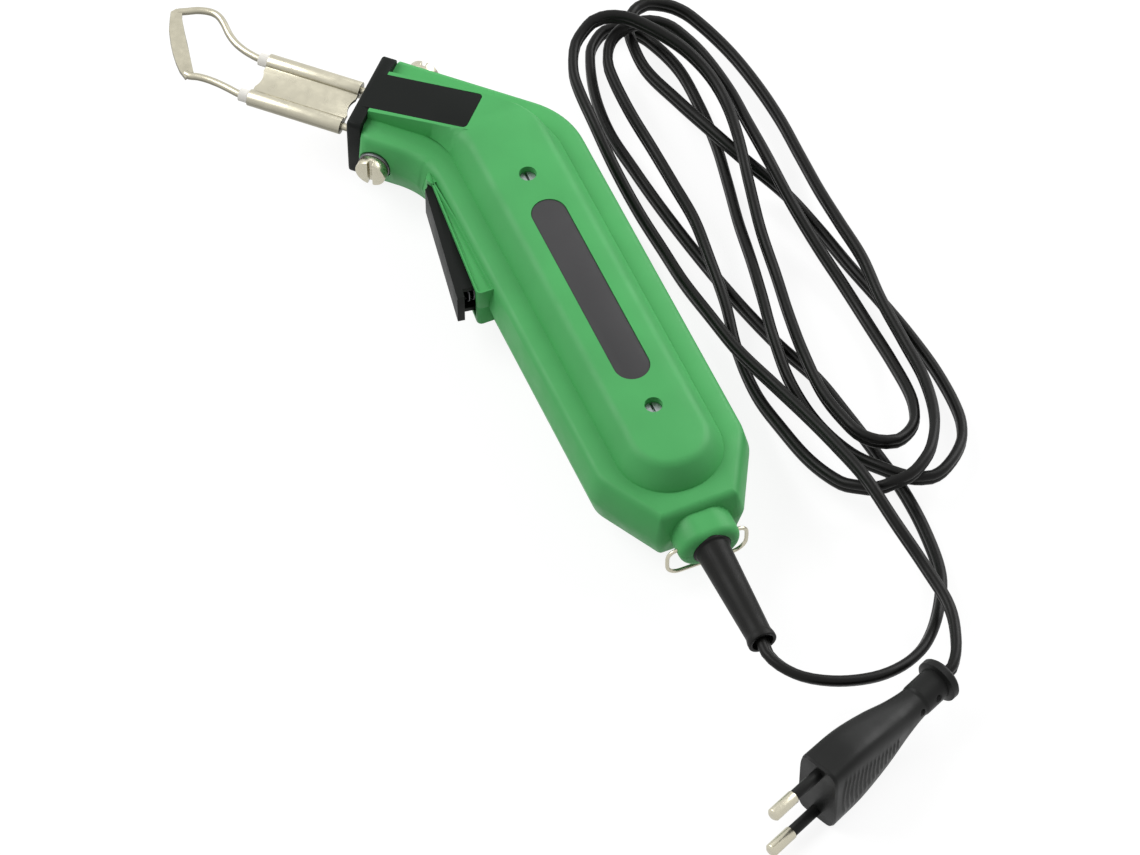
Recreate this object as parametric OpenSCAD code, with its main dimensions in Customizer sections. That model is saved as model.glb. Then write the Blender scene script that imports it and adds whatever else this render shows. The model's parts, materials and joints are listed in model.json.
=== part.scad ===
// Electric hot knife with a flat two core cord. Millimetres. +X runs along the handle towards the
// blade, +Y to the trigger side, +Z up with the tool lying on its side.

/* [Housing] */
// Half width of the handle at the parting plane
handle_half = 25; // [18:0.5:34]
// Half thickness of the tool over the raised panels
thick_half = 17; // [12:0.5:24]
// Height of the side wall above the parting plane
wall_rise = 9.2; // [6:0.2:13]
// How far the side wall leans in over its height
wall_draft = 2.15; // [0.5:0.05:4]
// Rounding of the wall's top edge
wall_round = 1.6; // [0.6:0.1:3]
// Distance from the cord end face to the bend
bend_run = 150; // [130:1:180]
// Angle between handle and head
bend_deg = 45; // [30:1:60]
// Half width of the head at the parting plane
head_half = 18.5; // [15:0.5:22]
// Length of the green head from the bend
head_run = 38.8; // [34:0.2:46]
// Outer radius of the bend at the back
back_round = 28; // [10:1:40]
// Length of the tapered cord end
taper_run = 21.5; // [12:0.5:30]
// Half width of the cord end face
end_half = 13.2; // [11.5:0.1:16]
// Rounding where the taper starts
taper_round = 12; // [6:1:16]
// Half width of the raised panel at its foot
panel_half = 16.5; // [14:0.5:20]
// How far the panel's slope runs in
panel_slope = 5.3; // [3:0.1:7]
// Half width of the panel on the head
panel_head_half = 8.7; // [8:0.1:11]
// Gap from the cord end face to the panel's foot
panel_set = 8; // [5:0.5:14]
// Drop angle of the head's upper face
head_drop_deg = 8.6; // [4:0.2:10]
// Where the drop starts, from the bend
drop_start = 7.3; // [4:0.1:12]
// Wall thickness of the mouldings
shell_wall = 2.45; // [1.6:0.05:3.5]
// Radius of the screw access holes
access_r = 2.65; // [2.5:0.05:3.5]
// Distance from the cord end face to the rear case screw
screw_rear = 34.6; // [32:0.2:40]
// Distance from the cord end face to the front case screw
screw_front = 127; // [124:0.2:132]
// Depth of the access holes
access_deep = 4.5; // [3:0.5:9]

/* [Label] */
// Length of the label plate
label_len = 71; // [50:1:76]
// Width of the label plate
label_wide = 10.7; // [8:0.1:14]
// Depth of the label recess
label_deep = 1; // [0.6:0.1:1.6]
// Distance from the cord end face to the plate's rear end
label_from = 45; // [44:0.5:50]

/* [Head block] */
// Width of the front plate
plate_wide = 29; // [26:0.5:34]
// Thickness of the front plate
plate_thick = 4.6; // [2:0.1:6]
// Half height of the front plate
plate_half = 11.8; // [9.5:0.1:12.5]
// Width of the tongues
tongue_wide = 13.7; // [10:0.1:15]
// Length of the tongues on the green head
tongue_len = 31; // [20:0.5:31]
// Thickness of the tongues
tongue_thick = 2.4; // [1.5:0.1:3]

/* [Blade] */
// Radius of the blade wire
wire_r = 1.15; // [0.8:0.05:1.4]
// Half distance between the two legs
leg_half = 7.5; // [6.8:0.1:8.2]
// Reach of the sheet holder's rear end from the bend
holder_from = 48; // [46:0.5:54]
// Length of the sheet holder
holder_len = 30.5; // [24:0.5:33]
// Outer radius of the ceramic tubes
ceramic_r = 2; // [1.8:0.05:2.2]
// Sheet thickness of the holder
sheet = 0.6; // [0.4:0.05:0.8]
// Thickness of the flattened cutting strip
strip_thick = 1.4; // [1:0.1:2]

/* [Clamp screws] */
// Radius of the clamp screws
clamp_r = 2.5; // [2:0.1:2.9]
// Radius of the cheese heads
cheese_r = 4.25; // [3.6:0.05:4.8]
// Height of the cheese heads
cheese_h = 3.3; // [2.4:0.1:4]
// Distance of the clamp screws from the bend
clamp_at = 32.9; // [31:0.1:33.5]

/* [Trigger] */
// Half height of the trigger
trigger_half = 5.6; // [4.6:0.1:6]
// Thickness of the trigger's outer wall
trigger_web = 2.2; // [1.6:0.1:3]
// Distance from the pivot to the trigger's free end
trigger_run = 44.5; // [40:0.5:46]
// Lean of the trigger away from the handle
trigger_deg = 9.4; // [8:0.1:11]
// Radius of the pivot pin
pivot_r = 1.5; // [1.2:0.05:1.8]

/* [Cord end] */
// Half width of the oval collar
collar_r = 9.5; // [8:0.1:10.5]
// Half height of the oval collar
collar_high = 7; // [6.8:0.1:8]
// Length of the oval collar
collar_len = 7.5; // [6:0.5:10]
// Length of the bend sleeve outside the collar
sleeve_len = 35; // [25:1:45]
// Radius of the sleeve at the collar
sleeve_r = 5.1; // [4.4:0.1:5.5]
// Radius of the sleeve near its end
sleeve_tip_r = 3.9; // [3.7:0.1:5]
// Width of the flat cord
cord_wide = 5.4; // [4.4:0.1:6]
// Thickness of the flat cord
cord_thick = 3.4; // [2.6:0.1:4]
// Radius of the bail's wire
bail_r = 0.6; // [0.4:0.05:0.8]

/* [Plug] */
// Width of the plug body
plug_wide = 26; // [22:0.5:30]
// Thickness of the plug body
plug_thick = 13.7; // [11:0.1:16]
// Radius of the plug pins
pin_r = 2; // [1.9:0.05:2.1]
// Length of the pins outside the plug
pin_len = 19; // [18.5:0.5:19.5]
// Distance between the pins
pin_gap = 18.6; // [17.5:0.1:19.2]

/* [Hidden] */

// Overrun of every cut and the small fits
over = 1;
lap = 0.2;
fit_gap = 0.1;
run_gap = 0.06;
free_gap = 0.35;
round_fn = 48;
small_fn = 32;

// Plan of the housing, in the handle's own frame with the cord end face at end_x
end_x = 6;
bend_x = end_x + bend_run;
c_bend = cos(bend_deg);
s_bend = sin(bend_deg);
function head_pt(a, y) = [bend_x + a * c_bend - y * s_bend, a * s_bend + y * c_bend];
function unit(v) = v / norm(v);
function right_of(e) = [e[1], -e[0]];
function crs(p, q) = p[0] * q[1] - p[1] * q[0];
function meet(p, e, q, f) = p + e * (crs(q - p, f) / crs(e, f));
function spin(v, t) = [v[0] * cos(t) - v[1] * sin(t), v[0] * sin(t) + v[1] * cos(t)];
head_dir = [c_bend, s_bend];
along = [1, 0];
function elbow(hw, bw) = meet([0, hw], along, head_pt(0, bw), head_dir);
function inset_pt(pts, ins, i) = let (n = len(pts), h = (i + n - 1) % n, j = (i + 1) % n,
    e = unit(pts[i] - pts[h]), f = unit(pts[j] - pts[i]))
    meet(pts[i] + right_of(e) * ins[h], e, pts[i] + right_of(f) * ins[i], f);
function corner(v, e, f, r, n) = n == 0 ? [v] : let (t = abs(atan2(crs(e, f), e * f)),
    s = v - e * r * tan(t / 2), c = s + right_of(e) * r)
    [for (i = [0:n]) c + spin(s - c, -t * i / n)];
function outline(pts, rad, num, ins) = let (n = len(pts), v = [for (i = [0:n - 1]) inset_pt(pts, ins, i)])
    [for (i = [0:n - 1]) let (h = (i + n - 1) % n, j = (i + 1) % n)
        each corner(v[i], unit(v[i] - v[h]), unit(v[j] - v[i]),
            max(rad[i] - ins[i], wall_round / 4), num[i])];
body_pts = [elbow(handle_half, head_half), head_pt(head_run, head_half), head_pt(head_run, -head_half),
    elbow(-handle_half, -head_half), [end_x + taper_run, -handle_half], [end_x, -end_half],
    [end_x, end_half], [end_x + taper_run, handle_half]];
body_rad = [0, wall_round * 2, wall_round * 2, back_round, taper_round, wall_round * 2, wall_round * 2,
    taper_round];
body_num = [0, 3, 3, 10, 5, 3, 3, 5];
body_front = [1, 0, 1, 1, 1, 1, 1, 1];
function body_ring(d) = outline(body_pts, body_rad, body_num, body_front * d);
panel_rear = end_x + panel_set;
panel_pts = [elbow(panel_half, panel_head_half), head_pt(head_run, panel_head_half),
    head_pt(head_run, -panel_head_half), elbow(-panel_half, -panel_head_half), [panel_rear, -panel_half],
    [panel_rear, panel_half]];
panel_rad = [0, 0, 0, back_round * 0.75, panel_half * 0.97, panel_half * 0.97];
panel_num = [0, 0, 0, 8, 10, 10];
// Share of the panel's slope that each side of its outline takes
panel_share = [0.2, 0, 0.2, 1, 1, 1];
function panel_ring(d) = outline(panel_pts, panel_rad, panel_num, panel_share * d);

// Meshes from closed rings of points
function skin_faces(m, n) = concat([[for (i = [0:n - 1]) (n - i) % n]],
    [for (k = [0:m - 2]) for (i = [0:n - 1]) let (j = (i + 1) % n)
        each [[k * n + i, k * n + j, k * n + n + j], [k * n + i, k * n + n + j, k * n + n + i]]],
    [[for (i = [0:n - 1]) (m - 1) * n + i]]);
function turned(f) = [for (q = f) [for (i = [0:len(q) - 1]) q[(len(q) - i) % len(q)]]];
module skin(rings) {
    polyhedron(points = [for (r = rings) each r], faces = skin_faces(len(rings), len(rings[0])));
}
// Rings stacked upwards for the upper half, downwards for the lower one
module stack(rings, heights, side) {
    flat = [for (k = [0:len(rings) - 1]) for (p = rings[k]) [p[0], p[1], side * heights[k]]];
    f = skin_faces(len(rings), len(rings[0]));
    polyhedron(points = flat, faces = side > 0 ? f : turned(f));
}
function sweep_ring(p, t, ref, rw, rh, n) = let (s = unit(cross(t, ref)), u = cross(s, t))
    [for (i = [0:n - 1]) p + s * rw * cos(360 * i / n) + u * rh * sin(360 * i / n)];
function way(pts, k) = unit(pts[min(k + 1, len(pts) - 1)] - pts[max(k - 1, 0)]);
function sweep_rings(pts, ref, rw, rh, n) =
    [for (k = [0:len(pts) - 1]) sweep_ring(pts[k], way(pts, k), ref, rw, rh, n)];

// Where the whole part sits: centre of its box over the floor
strip_outer = [[114.5, -14.4], [113.6, -11.6], [112, -7.4], [109.5, -2.9], [107.2, 0.5], [104.7, 3.7],
    [102.2, 6.4], [99.4, 8.4]];
strip_inner = [[98, 5.2], [100.2, 1.9], [102.4, -1.5], [104.6, -4.9], [107, -8.4], [109.3, -11.9],
    [110.4, -13.8], [111.4, -16.4], [113.4, -16.2]];
strip_xy = [for (p = concat(strip_outer, strip_inner)) head_pt(p[0], p[1])];
sleeve_end = end_x - collar_len - sleeve_len;
frame_x = (max([for (p = strip_xy) p[0]]) + sleeve_end) / 2;
frame_y = (max([for (p = strip_xy) p[1]]) - handle_half) / 2;
module in_part() {
    translate([-frame_x, -frame_y, thick_half]) children();
}
module in_head() {
    in_part() translate([bend_x, 0, 0]) rotate([0, 0, bend_deg]) children();
}
module head_local() {
    translate([bend_x, 0, 0]) rotate([0, 0, bend_deg]) children();
}
// A box from two opposite corners
module span(p, q) {
    translate(p) cube(q - p);
}
module rod_x(x0, x1, r) {
    translate([x0, 0, 0]) rotate([0, 90, 0]) cylinder(h = x1 - x0, r = r, $fn = round_fn);
}
module rod_y(y0, y1, r) {
    translate([0, y0, 0]) rotate([-90, 0, 0]) cylinder(h = y1 - y0, r = r, $fn = round_fn);
}
module rod_z(z0, z1, r) {
    translate([0, 0, z0]) cylinder(h = z1 - z0, r = r, $fn = round_fn);
}

// Inner sizes
cav_h = wall_rise - shell_wall + lap / 4;
cav_half = handle_half - wall_draft - shell_wall - lap;
end_web = 8;
bend_web = 6;
coil_set = bend_run * 0.32;
coil_run = bend_run * 0.364;
cav_from = end_x + end_web;
cav_to = bend_x - bend_web;
coil_from = end_x + coil_set;
coil_to = coil_from + coil_run;
core_gap = 1.2;
limb_share = 0.2526316;
coil_gap = 1.6;
core_half = cav_half - core_gap;
limb = core_half * limb_share;
coil_y = core_half - limb - coil_gap;
coil_z = 12.9;
cut_share = 0.4285714;
coil_cut = coil_y * cut_share;
pillar_r = 4.6;
screw_r = 1.5;
screw_head_r = 2.5;
screw_head_h = 2.2;
nut_r = 3.2;
nut_h = 2.4;
nut_floor = 6;
rear_x = end_x + screw_rear;
front_x = end_x + screw_front;
block_from = 18;
block_half = 14;
block_z = 8;
seat_y = 17;
washer_r = 5;
washer_h = 1;
pocket_gap = 0.4;
pocket_r = washer_r + pocket_gap;

// Trigger place
pivot_set = 6.5;
pivot_sink = 2.8;
cheek = 1.5;
slot_gap = 0.4;
boss_past = 1;
boss_short = 1.5;
boss_out = 3.4;
boss_wall = 2;
slot_past = 3.6;
slot_sink = 1.2;
pivot_x = bend_x - pivot_set;
pivot_y = handle_half - pivot_sink;
slot_half = trigger_half + slot_gap;
boss_half = slot_half + cheek;
boss_from = pivot_x - trigger_run - boss_past;
boss_to = pivot_x - boss_short;
slot_from = boss_from + boss_wall;
slot_to = pivot_x + slot_past;
slot_floor = cav_half - slot_sink;

// Cord end place
collar_end = end_x - collar_len;
flange_r = 5.8;
flange_len = 1.5;
neck_r = 4.5;
groove_r = 6;
groove_out = 1;
groove_in = 1.6;
groove_from = end_x - groove_out;
groove_to = end_x + groove_in;
cord_bore = 3.2;
bail_set = 4;
bail_x = end_x - bail_set;
bail_in = 7;
bail_half = 12.4;
bail_drop = 10.4;
clamp_set = 14;
clamp_wide = 8;
clamp_from = end_x + clamp_set;
clamp_to = clamp_from + clamp_wide;
clamp_half = 9;
clamp_screw_y = 6.2;
rib_top = cord_wide / 2 + lap;
bar_h = 2.6;

module slope_cut() {
    head_local() translate([drop_start, 0, thick_half]) rotate([0, head_drop_deg, 0])
        span([-bend_run, -bend_run, 0], [bend_run, bend_run, thick_half]);
}
// Rounded corner, and two outlines that use it: a tab with two of them and a plate with four
function quarter(c, r, from) = [for (i = [0:arc_steps]) c + spin([r, 0], from + 90 * i / arc_steps)];
function tab(x0, x1, hw, r) = concat(quarter([x0 + r, -hw + r], r, 180), [[x1, -hw], [x1, hw]],
    quarter([x0 + r, hw - r], r, 90));
function plaque(hw, hh, r) = concat(quarter([-hw + r, -hh + r], r, 180), quarter([hw - r, -hh + r], r, 270),
    quarter([hw - r, hh - r], r, 0), quarter([-hw + r, hh - r], r, 90));
arc_steps = 4;
tongue_round = 1.3;
plate_round = 1.8;
module tongue(grow) {
    head_local() translate([drop_start, 0, thick_half]) rotate([0, head_drop_deg, 0])
        translate([0, 0, -tongue_thick - grow * 0.5]) linear_extrude(tongue_thick + grow * 10.5)
            polygon(tab(fit_gap * 2 - grow, tongue_len + plate_thick, tongue_wide / 2 + grow,
                tongue_round + grow));
}
module coil_prism(x0, x1, hy, hz, cut) {
    translate([x0, 0, 0]) rotate([90, 0, 90]) linear_extrude(x1 - x0)
        polygon([[-hy, -hz + cut], [-hy + cut, -hz], [hy - cut, -hz], [hy, -hz + cut], [hy, hz - cut],
            [hy - cut, hz], [-hy + cut, hz], [-hy, hz - cut]]);
}
module boss_plan() {
    polygon([[boss_to, handle_half - over], [boss_to, handle_half - lap], [boss_from, handle_half + boss_out],
        [boss_from, handle_half - wall_draft - over]]);
}
collar_edge = 2.6;
edge_steps = 6;
function collar_side(r, end) = concat([[r, -groove_to]],
    [for (i = [0:edge_steps]) [r - collar_edge + collar_edge * cos(90 * i / edge_steps),
        -end - collar_edge + collar_edge * sin(90 * i / edge_steps)]]);
module collar() {
    reach = collar_r - collar_high;
    flank = collar_side(collar_high - lap / 4, collar_end + lap / 4);
    for (s = [-1, 1]) translate([0, s * reach, 0]) rotate([0, -90, 0]) rotate_extrude($fn = round_fn)
        polygon(concat([[0, -groove_to]], collar_side(collar_high, collar_end), [[0, -collar_end]]));
    translate([0, reach, 0]) rotate([90, 0, 0]) linear_extrude(reach * 2)
        polygon(concat([for (p = flank) [-p[1], p[0]]],
            [for (i = [len(flank) - 1:-1:0]) [-flank[i][1], -flank[i][0]]]));
}
module label_form(d0, d1, grow) {
    r = label_wide / 2 + grow;
    x0 = end_x + label_from + label_wide / 2;
    x1 = end_x + label_from + label_len - label_wide / 2;
    translate([0, 0, thick_half - d0]) linear_extrude(d0 - d1) union() {
        translate([x0, 0]) circle(r = r, $fn = round_fn);
        translate([x1, 0]) circle(r = r, $fn = round_fn);
        translate([x0, -r]) square([x1 - x0, r * 2]);
    }
}
module half_outer(side) {
    round_in = wall_draft * (wall_rise - wall_round) / wall_rise;
    stack([body_ring(0), body_ring(round_in), body_ring(wall_draft + wall_round * 0.3),
        body_ring(wall_draft + wall_round)],
        [0, wall_rise - wall_round, wall_rise - wall_round * 0.3, wall_rise], side);
    stack([panel_ring(0), panel_ring(panel_slope * 0.12), panel_ring(panel_slope * 0.78),
        panel_ring(panel_slope), panel_ring(panel_slope + wall_round)],
        [wall_rise - wall_round, wall_rise + wall_round * 0.5, thick_half - wall_round,
        thick_half - wall_round * 0.3, thick_half], side);
}
module half_cavity() {
    span([cav_from + taper_run * 0.7, -cav_half, -cav_h], [cav_to, cav_half, cav_h]);
    span([cav_from, -end_half + shell_wall, -cav_h], [cav_from + taper_run, end_half - shell_wall, cav_h]);
    coil_prism(coil_from, coil_to, coil_y, coil_z, coil_cut);
    head_local() span([-block_from, -block_half + shell_wall, -cav_h],
        [block_from + lap, block_half - shell_wall, cav_h]);
    head_local() span([block_from, -block_half - fit_gap, -block_z - fit_gap],
        [head_run + over, block_half + fit_gap, block_z + fit_gap]);
}
module half_bores() {
    // Trigger slot and pivot
    span([slot_from, slot_floor, -slot_half], [slot_to, handle_half + boss_out + over, slot_half]);
    translate([pivot_x, pivot_y, 0]) rod_z(-boss_half, boss_half, pivot_r + fit_gap * 0.2);
    // Sleeve seat
    rod_x(collar_end - over, collar_end + flange_len, flange_r + fit_gap);
    rod_x(collar_end, groove_from + lap, neck_r + fit_gap * 0.5);
    rod_x(groove_from, groove_to, groove_r + fit_gap);
    rod_x(groove_to - lap, cav_from + over, neck_r);
    translate([bail_x, 0, 0]) rod_y(-collar_r - over, collar_r + over, bail_r + run_gap);
    // Clamp screws of the head
    head_local() translate([clamp_at, 0, 0]) rod_y(-head_half - over, head_half + over, clamp_r + free_gap);
    head_local() translate([clamp_at, 0, 0]) rod_y(seat_y, head_half + over * 4, pocket_r);
    head_local() translate([clamp_at, 0, 0]) rod_y(-head_half - over * 4, -seat_y, pocket_r);
}
seat_set = 1.5;
seat_len = 7;
seat_rise = 0.6;
seat_from = slot_from + seat_set;
seat_to = seat_from + seat_len;
seat_top = slot_floor + seat_rise;
module half_posts(side) {
    for (x = [rear_x, front_x])
        translate([x, 0, side > 0 ? 0 : -cav_h - shell_wall]) rod_z(0, cav_h + shell_wall, pillar_r);
    translate([0, 0, side > 0 ? 0 : -cav_h - lap])
        span([seat_from, seat_top - shell_wall, 0], [seat_to, seat_top, cav_h + lap]);
}
module upper_shell() {
    color([0.16, 0.56, 0.3]) in_part() difference() {
        union() {
            difference() {
                union() {
                    half_outer(1);
                    linear_extrude(boss_half) boss_plan();
                    collar();
                }
                span([-bend_run, -bend_run, -thick_half], [bend_run * 3, bend_run, 0]);
                half_cavity();
            }
            half_posts(1);
        }
        half_bores();
        slope_cut();
        tongue(fit_gap);
        label_form(label_deep, -over, fit_gap);
        for (x = [rear_x, front_x]) {
            translate([x, 0, 0]) rod_z(-over, thick_half + over, screw_r + fit_gap);
            translate([x, 0, 0]) rod_z(thick_half - access_deep, thick_half + over, access_r);
        }
    }
}
module lower_shell() {
    color([0.15, 0.53, 0.28]) in_part() difference() {
        union() {
            difference() {
                union() {
                    half_outer(-1);
                    translate([0, 0, -boss_half]) linear_extrude(boss_half) boss_plan();
                    collar();
                }
                span([-bend_run, -bend_run, 0], [bend_run * 3, bend_run, thick_half]);
                half_cavity();
            }
            half_posts(-1);
            span([clamp_from, -clamp_half, -cav_h - lap], [clamp_to, clamp_half, -rib_top]);
        }
        half_bores();
        mirror([0, 0, 1]) slope_cut();
        mirror([0, 0, 1]) tongue(fit_gap);
        for (x = [rear_x, front_x]) {
            translate([x, 0, 0]) rod_z(-thick_half - over, over, screw_r + fit_gap);
            translate([x, 0, -thick_half - over]) rotate([0, 0, 30])
                cylinder(h = nut_floor + over, r = nut_r + fit_gap, $fn = 6);
        }
        for (y = [-clamp_screw_y, clamp_screw_y])
            translate([(clamp_from + clamp_to) / 2, y, 0]) rod_z(-cav_h + lap, 0, screw_r * 0.8);
    }
}
module label_plate() {
    color([0.22, 0.22, 0.22]) in_part() label_form(label_deep, lap, 0);
}

// Head block, terminals and clamp screws, in the head's frame
term_from = 24;
term_to = 37;
term_in = 3;
term_out = 12;
term_z = 5.5;
leg_in = 27;
thread_r = clamp_r + run_gap;
tip_y = leg_half + wire_r + free_gap;
washer_y = seat_y + free_gap;
head_y = washer_y + washer_h;
slot_wide = 1.2;
slot_deep = 1.6;
module head_block() {
    color([0.09, 0.09, 0.1]) in_part() difference() {
        union() {
            intersection() {
                union() {
                    tongue(0);
                    mirror([0, 0, 1]) tongue(0);
                }
                head_local() span([0, -plate_wide, -thick_half],
                    [head_run + plate_thick, plate_wide, thick_half]);
            }
            head_local() translate([head_run, 0, 0]) rotate([90, 0, 90]) linear_extrude(plate_thick)
                polygon(plaque(plate_wide / 2, plate_half, plate_round));
            head_local() span([block_from + fit_gap, -block_half, -block_z],
                [head_run + lap, block_half, block_z]);
        }
        slope_cut();
        mirror([0, 0, 1]) slope_cut();
        for (s = [-1, 1]) head_local() {
            translate([0, s > 0 ? 0 : -term_in - term_out, 0])
                span([block_from - over, term_in - fit_gap, -term_z - fit_gap],
                    [term_to, term_out + fit_gap, term_z + fit_gap]);
            translate([0, s * leg_half, 0])
                rod_x(term_to - over, head_run + plate_thick + over, wire_r + free_gap);
        }
        head_local() translate([clamp_at, 0, 0])
            rod_y(term_out - over, block_half + over, clamp_r + free_gap);
        head_local() translate([clamp_at, 0, 0])
            rod_y(-block_half - over, -term_out + over, clamp_r + free_gap);
    }
}
module terminal(s) {
    color([0.8, 0.62, 0.28]) in_head() difference() {
        translate([0, s > 0 ? 0 : -term_in - term_out, 0])
            span([term_from, term_in, -term_z], [term_to, term_out, term_z]);
        translate([0, s * leg_half, 0]) rod_x(term_from + over * 2, term_to + over, wire_r + run_gap);
        translate([clamp_at, 0, 0]) rotate([0, 0, s > 0 ? 0 : 180])
            rod_y(leg_half, term_out + over, thread_r);
    }
}
module terminal_far() { terminal(-1); }
module terminal_near() { terminal(1); }
module clamp_screw(s) {
    color([0.75, 0.74, 0.7]) in_head() translate([clamp_at, 0, 0]) rotate([0, 0, s > 0 ? 0 : 180])
    difference() {
        union() {
            rod_y(tip_y, head_y + lap, clamp_r);
            rod_y(head_y, head_y + cheese_h, cheese_r);
        }
        span([-slot_wide / 2, head_y + cheese_h - slot_deep, -cheese_r - over],
            [slot_wide / 2, head_y + cheese_h + over, cheese_r + over]);
    }
}
module clamp_screw_far() { clamp_screw(-1); }
module clamp_screw_near() { clamp_screw(1); }
module clamp_washer(s) {
    color([0.7, 0.7, 0.68]) in_head() translate([clamp_at, 0, 0]) rotate([0, 0, s > 0 ? 0 : 180])
    difference() {
        rod_y(washer_y, head_y - run_gap, washer_r);
        rod_y(washer_y - over, head_y + over, clamp_r + run_gap);
    }
}
module clamp_washer_far() { clamp_washer(-1); }
module clamp_washer_near() { clamp_washer(1); }

// Case screws and nuts
module case_screws() {
    color([0.72, 0.73, 0.74]) in_part() for (x = [rear_x, front_x]) translate([x, 0, 0]) difference() {
        union() {
            rod_z(-thick_half + nut_floor - nut_h, thick_half - access_deep + lap, screw_r);
            rod_z(thick_half - access_deep, thick_half - access_deep + screw_head_h, screw_head_r);
        }
        span([-screw_head_r - over, -slot_wide / 3, thick_half - access_deep + screw_head_h * 0.4],
            [screw_head_r + over, slot_wide / 3, thick_half]);
    }
}
module case_nuts() {
    color([0.7, 0.7, 0.7]) in_part() for (x = [rear_x, front_x])
        translate([x, 0, -thick_half + nut_floor - nut_h]) difference() {
            rotate([0, 0, 30]) cylinder(h = nut_h, r = nut_r, $fn = 6);
            rod_z(-over, nut_h + over, screw_r + fit_gap * 0.2);
        }
}

// Blade, in the head's frame
far_wire = [[82, -7.5], [86, -8.4], [89, -9.5], [91.6, -10.9], [94.5, -13.2], [97, -15.8], [99, -17.6],
    [101, -18.7], [103.4, -19], [107, -18.2], [110, -16.6], [112.4, -15.4]];
near_wire = [[82, 7.5], [85.4, 6.8], [89.5, 6.1], [93.5, 5.8], [96.5, 6], [98.8, 6.6], [100.4, 6.2]];
wire_sides = 10;
up_axis = [0, 0, 1];
module wire(path) {
    skin(sweep_rings([for (p = path) [p[0], p[1], 0]], up_axis, wire_r, wire_r, wire_sides));
}
module blade() {
    color([0.72, 0.7, 0.66]) in_head() union() {
        translate([0, -leg_half, 0]) rod_x(leg_in, far_wire[0][0] + lap * 4, wire_r);
        translate([0, leg_half, 0]) rod_x(leg_in, far_wire[0][0] + lap * 4, wire_r);
        wire(far_wire);
        wire(near_wire);
        translate([0, 0, -strip_thick / 2]) linear_extrude(strip_thick)
            polygon(concat(strip_outer, strip_inner));
    }
}
bush_out = 3.2;
holder_to = holder_from + holder_len;
module ceramic_tubes() {
    color([0.93, 0.92, 0.88]) in_head() for (s = [-1, 1]) translate([0, s * leg_half, 0]) difference() {
        rod_x(holder_from + over, holder_to + bush_out, ceramic_r);
        rod_x(holder_from, holder_to + bush_out + over, wire_r + fit_gap * 0.2);
    }
}
web_dip = 2.2;
module blade_holder() {
    wrap_r = ceramic_r + sheet;
    color([0.76, 0.75, 0.7]) in_head() difference() {
        union() {
            for (s = [-1, 1]) translate([0, s * leg_half, 0]) rod_x(holder_from, holder_to, wrap_r);
            span([holder_from, -leg_half, -sheet], [holder_to, leg_half, sheet]);
        }
        for (s = [-1, 1]) translate([0, s * leg_half, 0]) {
            rod_x(holder_from + over, holder_to + over, ceramic_r + fit_gap * 0.2);
            rod_x(holder_from - over, holder_to, wire_r + fit_gap * 0.2);
        }
        translate([holder_to + leg_half - web_dip, 0, 0])
            rod_z(-over, over, leg_half - wrap_r * 0.5);
        translate([holder_from - leg_half + web_dip, 0, 0])
            rod_z(-over, over, leg_half - wrap_r * 0.5);
    }
}

// Trigger, drawn with its pivot at zero and its length along -X before it leans out
knuckle_r = 2.9;
web_over = 1.6;
web_y = knuckle_r + web_over;
flange_thick = 1.6;
flange_deep = 6.4;
web_tail = 3;
rib_x = 23.5;
rib_thick = 3;
rib_half = trigger_half - flange_thick / 2;
trigger_nose = -2.2;
module trigger_at() {
    in_part() translate([pivot_x, pivot_y, 0]) children();
}
module trigger() {
    color([0.1, 0.1, 0.11]) trigger_at() difference() {
        union() {
            rotate([0, 0, -trigger_deg]) {
                span([-trigger_run, web_y - trigger_web, -trigger_half], [trigger_nose, web_y, trigger_half]);
                for (z = [-trigger_half, trigger_half - flange_thick])
                    translate([0, 0, z]) linear_extrude(flange_thick)
                        polygon([[trigger_nose - lap, web_y - lap], [-trigger_run + web_tail, web_y - lap],
                            [-trigger_run + web_tail, web_y - flange_deep],
                            [-knuckle_r, -knuckle_r * 0.7], [0, -knuckle_r * 0.7],
                            [knuckle_r * 0.7, 0], [knuckle_r * 0.5, knuckle_r * 0.6]]);
                span([-rib_x - rib_thick / 2, -lap * 2, -rib_half],
                    [-rib_x + rib_thick / 2, web_y - lap, rib_half]);
            }
            rod_z(-rib_half, rib_half, knuckle_r);
        }
        rod_z(-trigger_half - over, trigger_half + over, pivot_r + run_gap);
    }
}
module pivot_pin() {
    color([0.7, 0.7, 0.72]) trigger_at() rod_z(-boss_half + lap, boss_half - lap, pivot_r);
}
spring_r = 2.2;
spring_wire = 0.3;
spring_turns = 6;
spring_steps = 14;
spring_sides = 5;
spring_x = (seat_from + seat_to) / 2;
web_gap_y = pivot_y + (web_y - trigger_web) / cos(trigger_deg) + (pivot_x - spring_x) * tan(trigger_deg);
spring_low = seat_top + free_gap + spring_wire;
spring_high = web_gap_y - free_gap - spring_wire - spring_r * tan(trigger_deg);
module trigger_spring() {
    n = spring_turns * spring_steps;
    pts = [for (i = [0:n]) [spring_x + spring_r * cos(360 * i / spring_steps),
        spring_low + (spring_high - spring_low) * i / n, spring_r * sin(360 * i / spring_steps)]];
    color([0.6, 0.6, 0.62]) in_part()
        skin(sweep_rings(pts, [0, 1, 0], spring_wire, spring_wire, spring_sides));
}
switch_half = 10;
switch_x = pivot_x - rib_x;
switch_sink = 1.4;
switch_top = slot_floor - switch_sink;
switch_deep = 6.6;
plunger_r = 2;
plunger_in = 3;
rib_y = pivot_y + rib_x * sin(trigger_deg) - lap * 2 * cos(trigger_deg) - rib_thick / 2 * sin(trigger_deg);
plunger_top = rib_y - free_gap;
plunger_well = 2.2;
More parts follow.
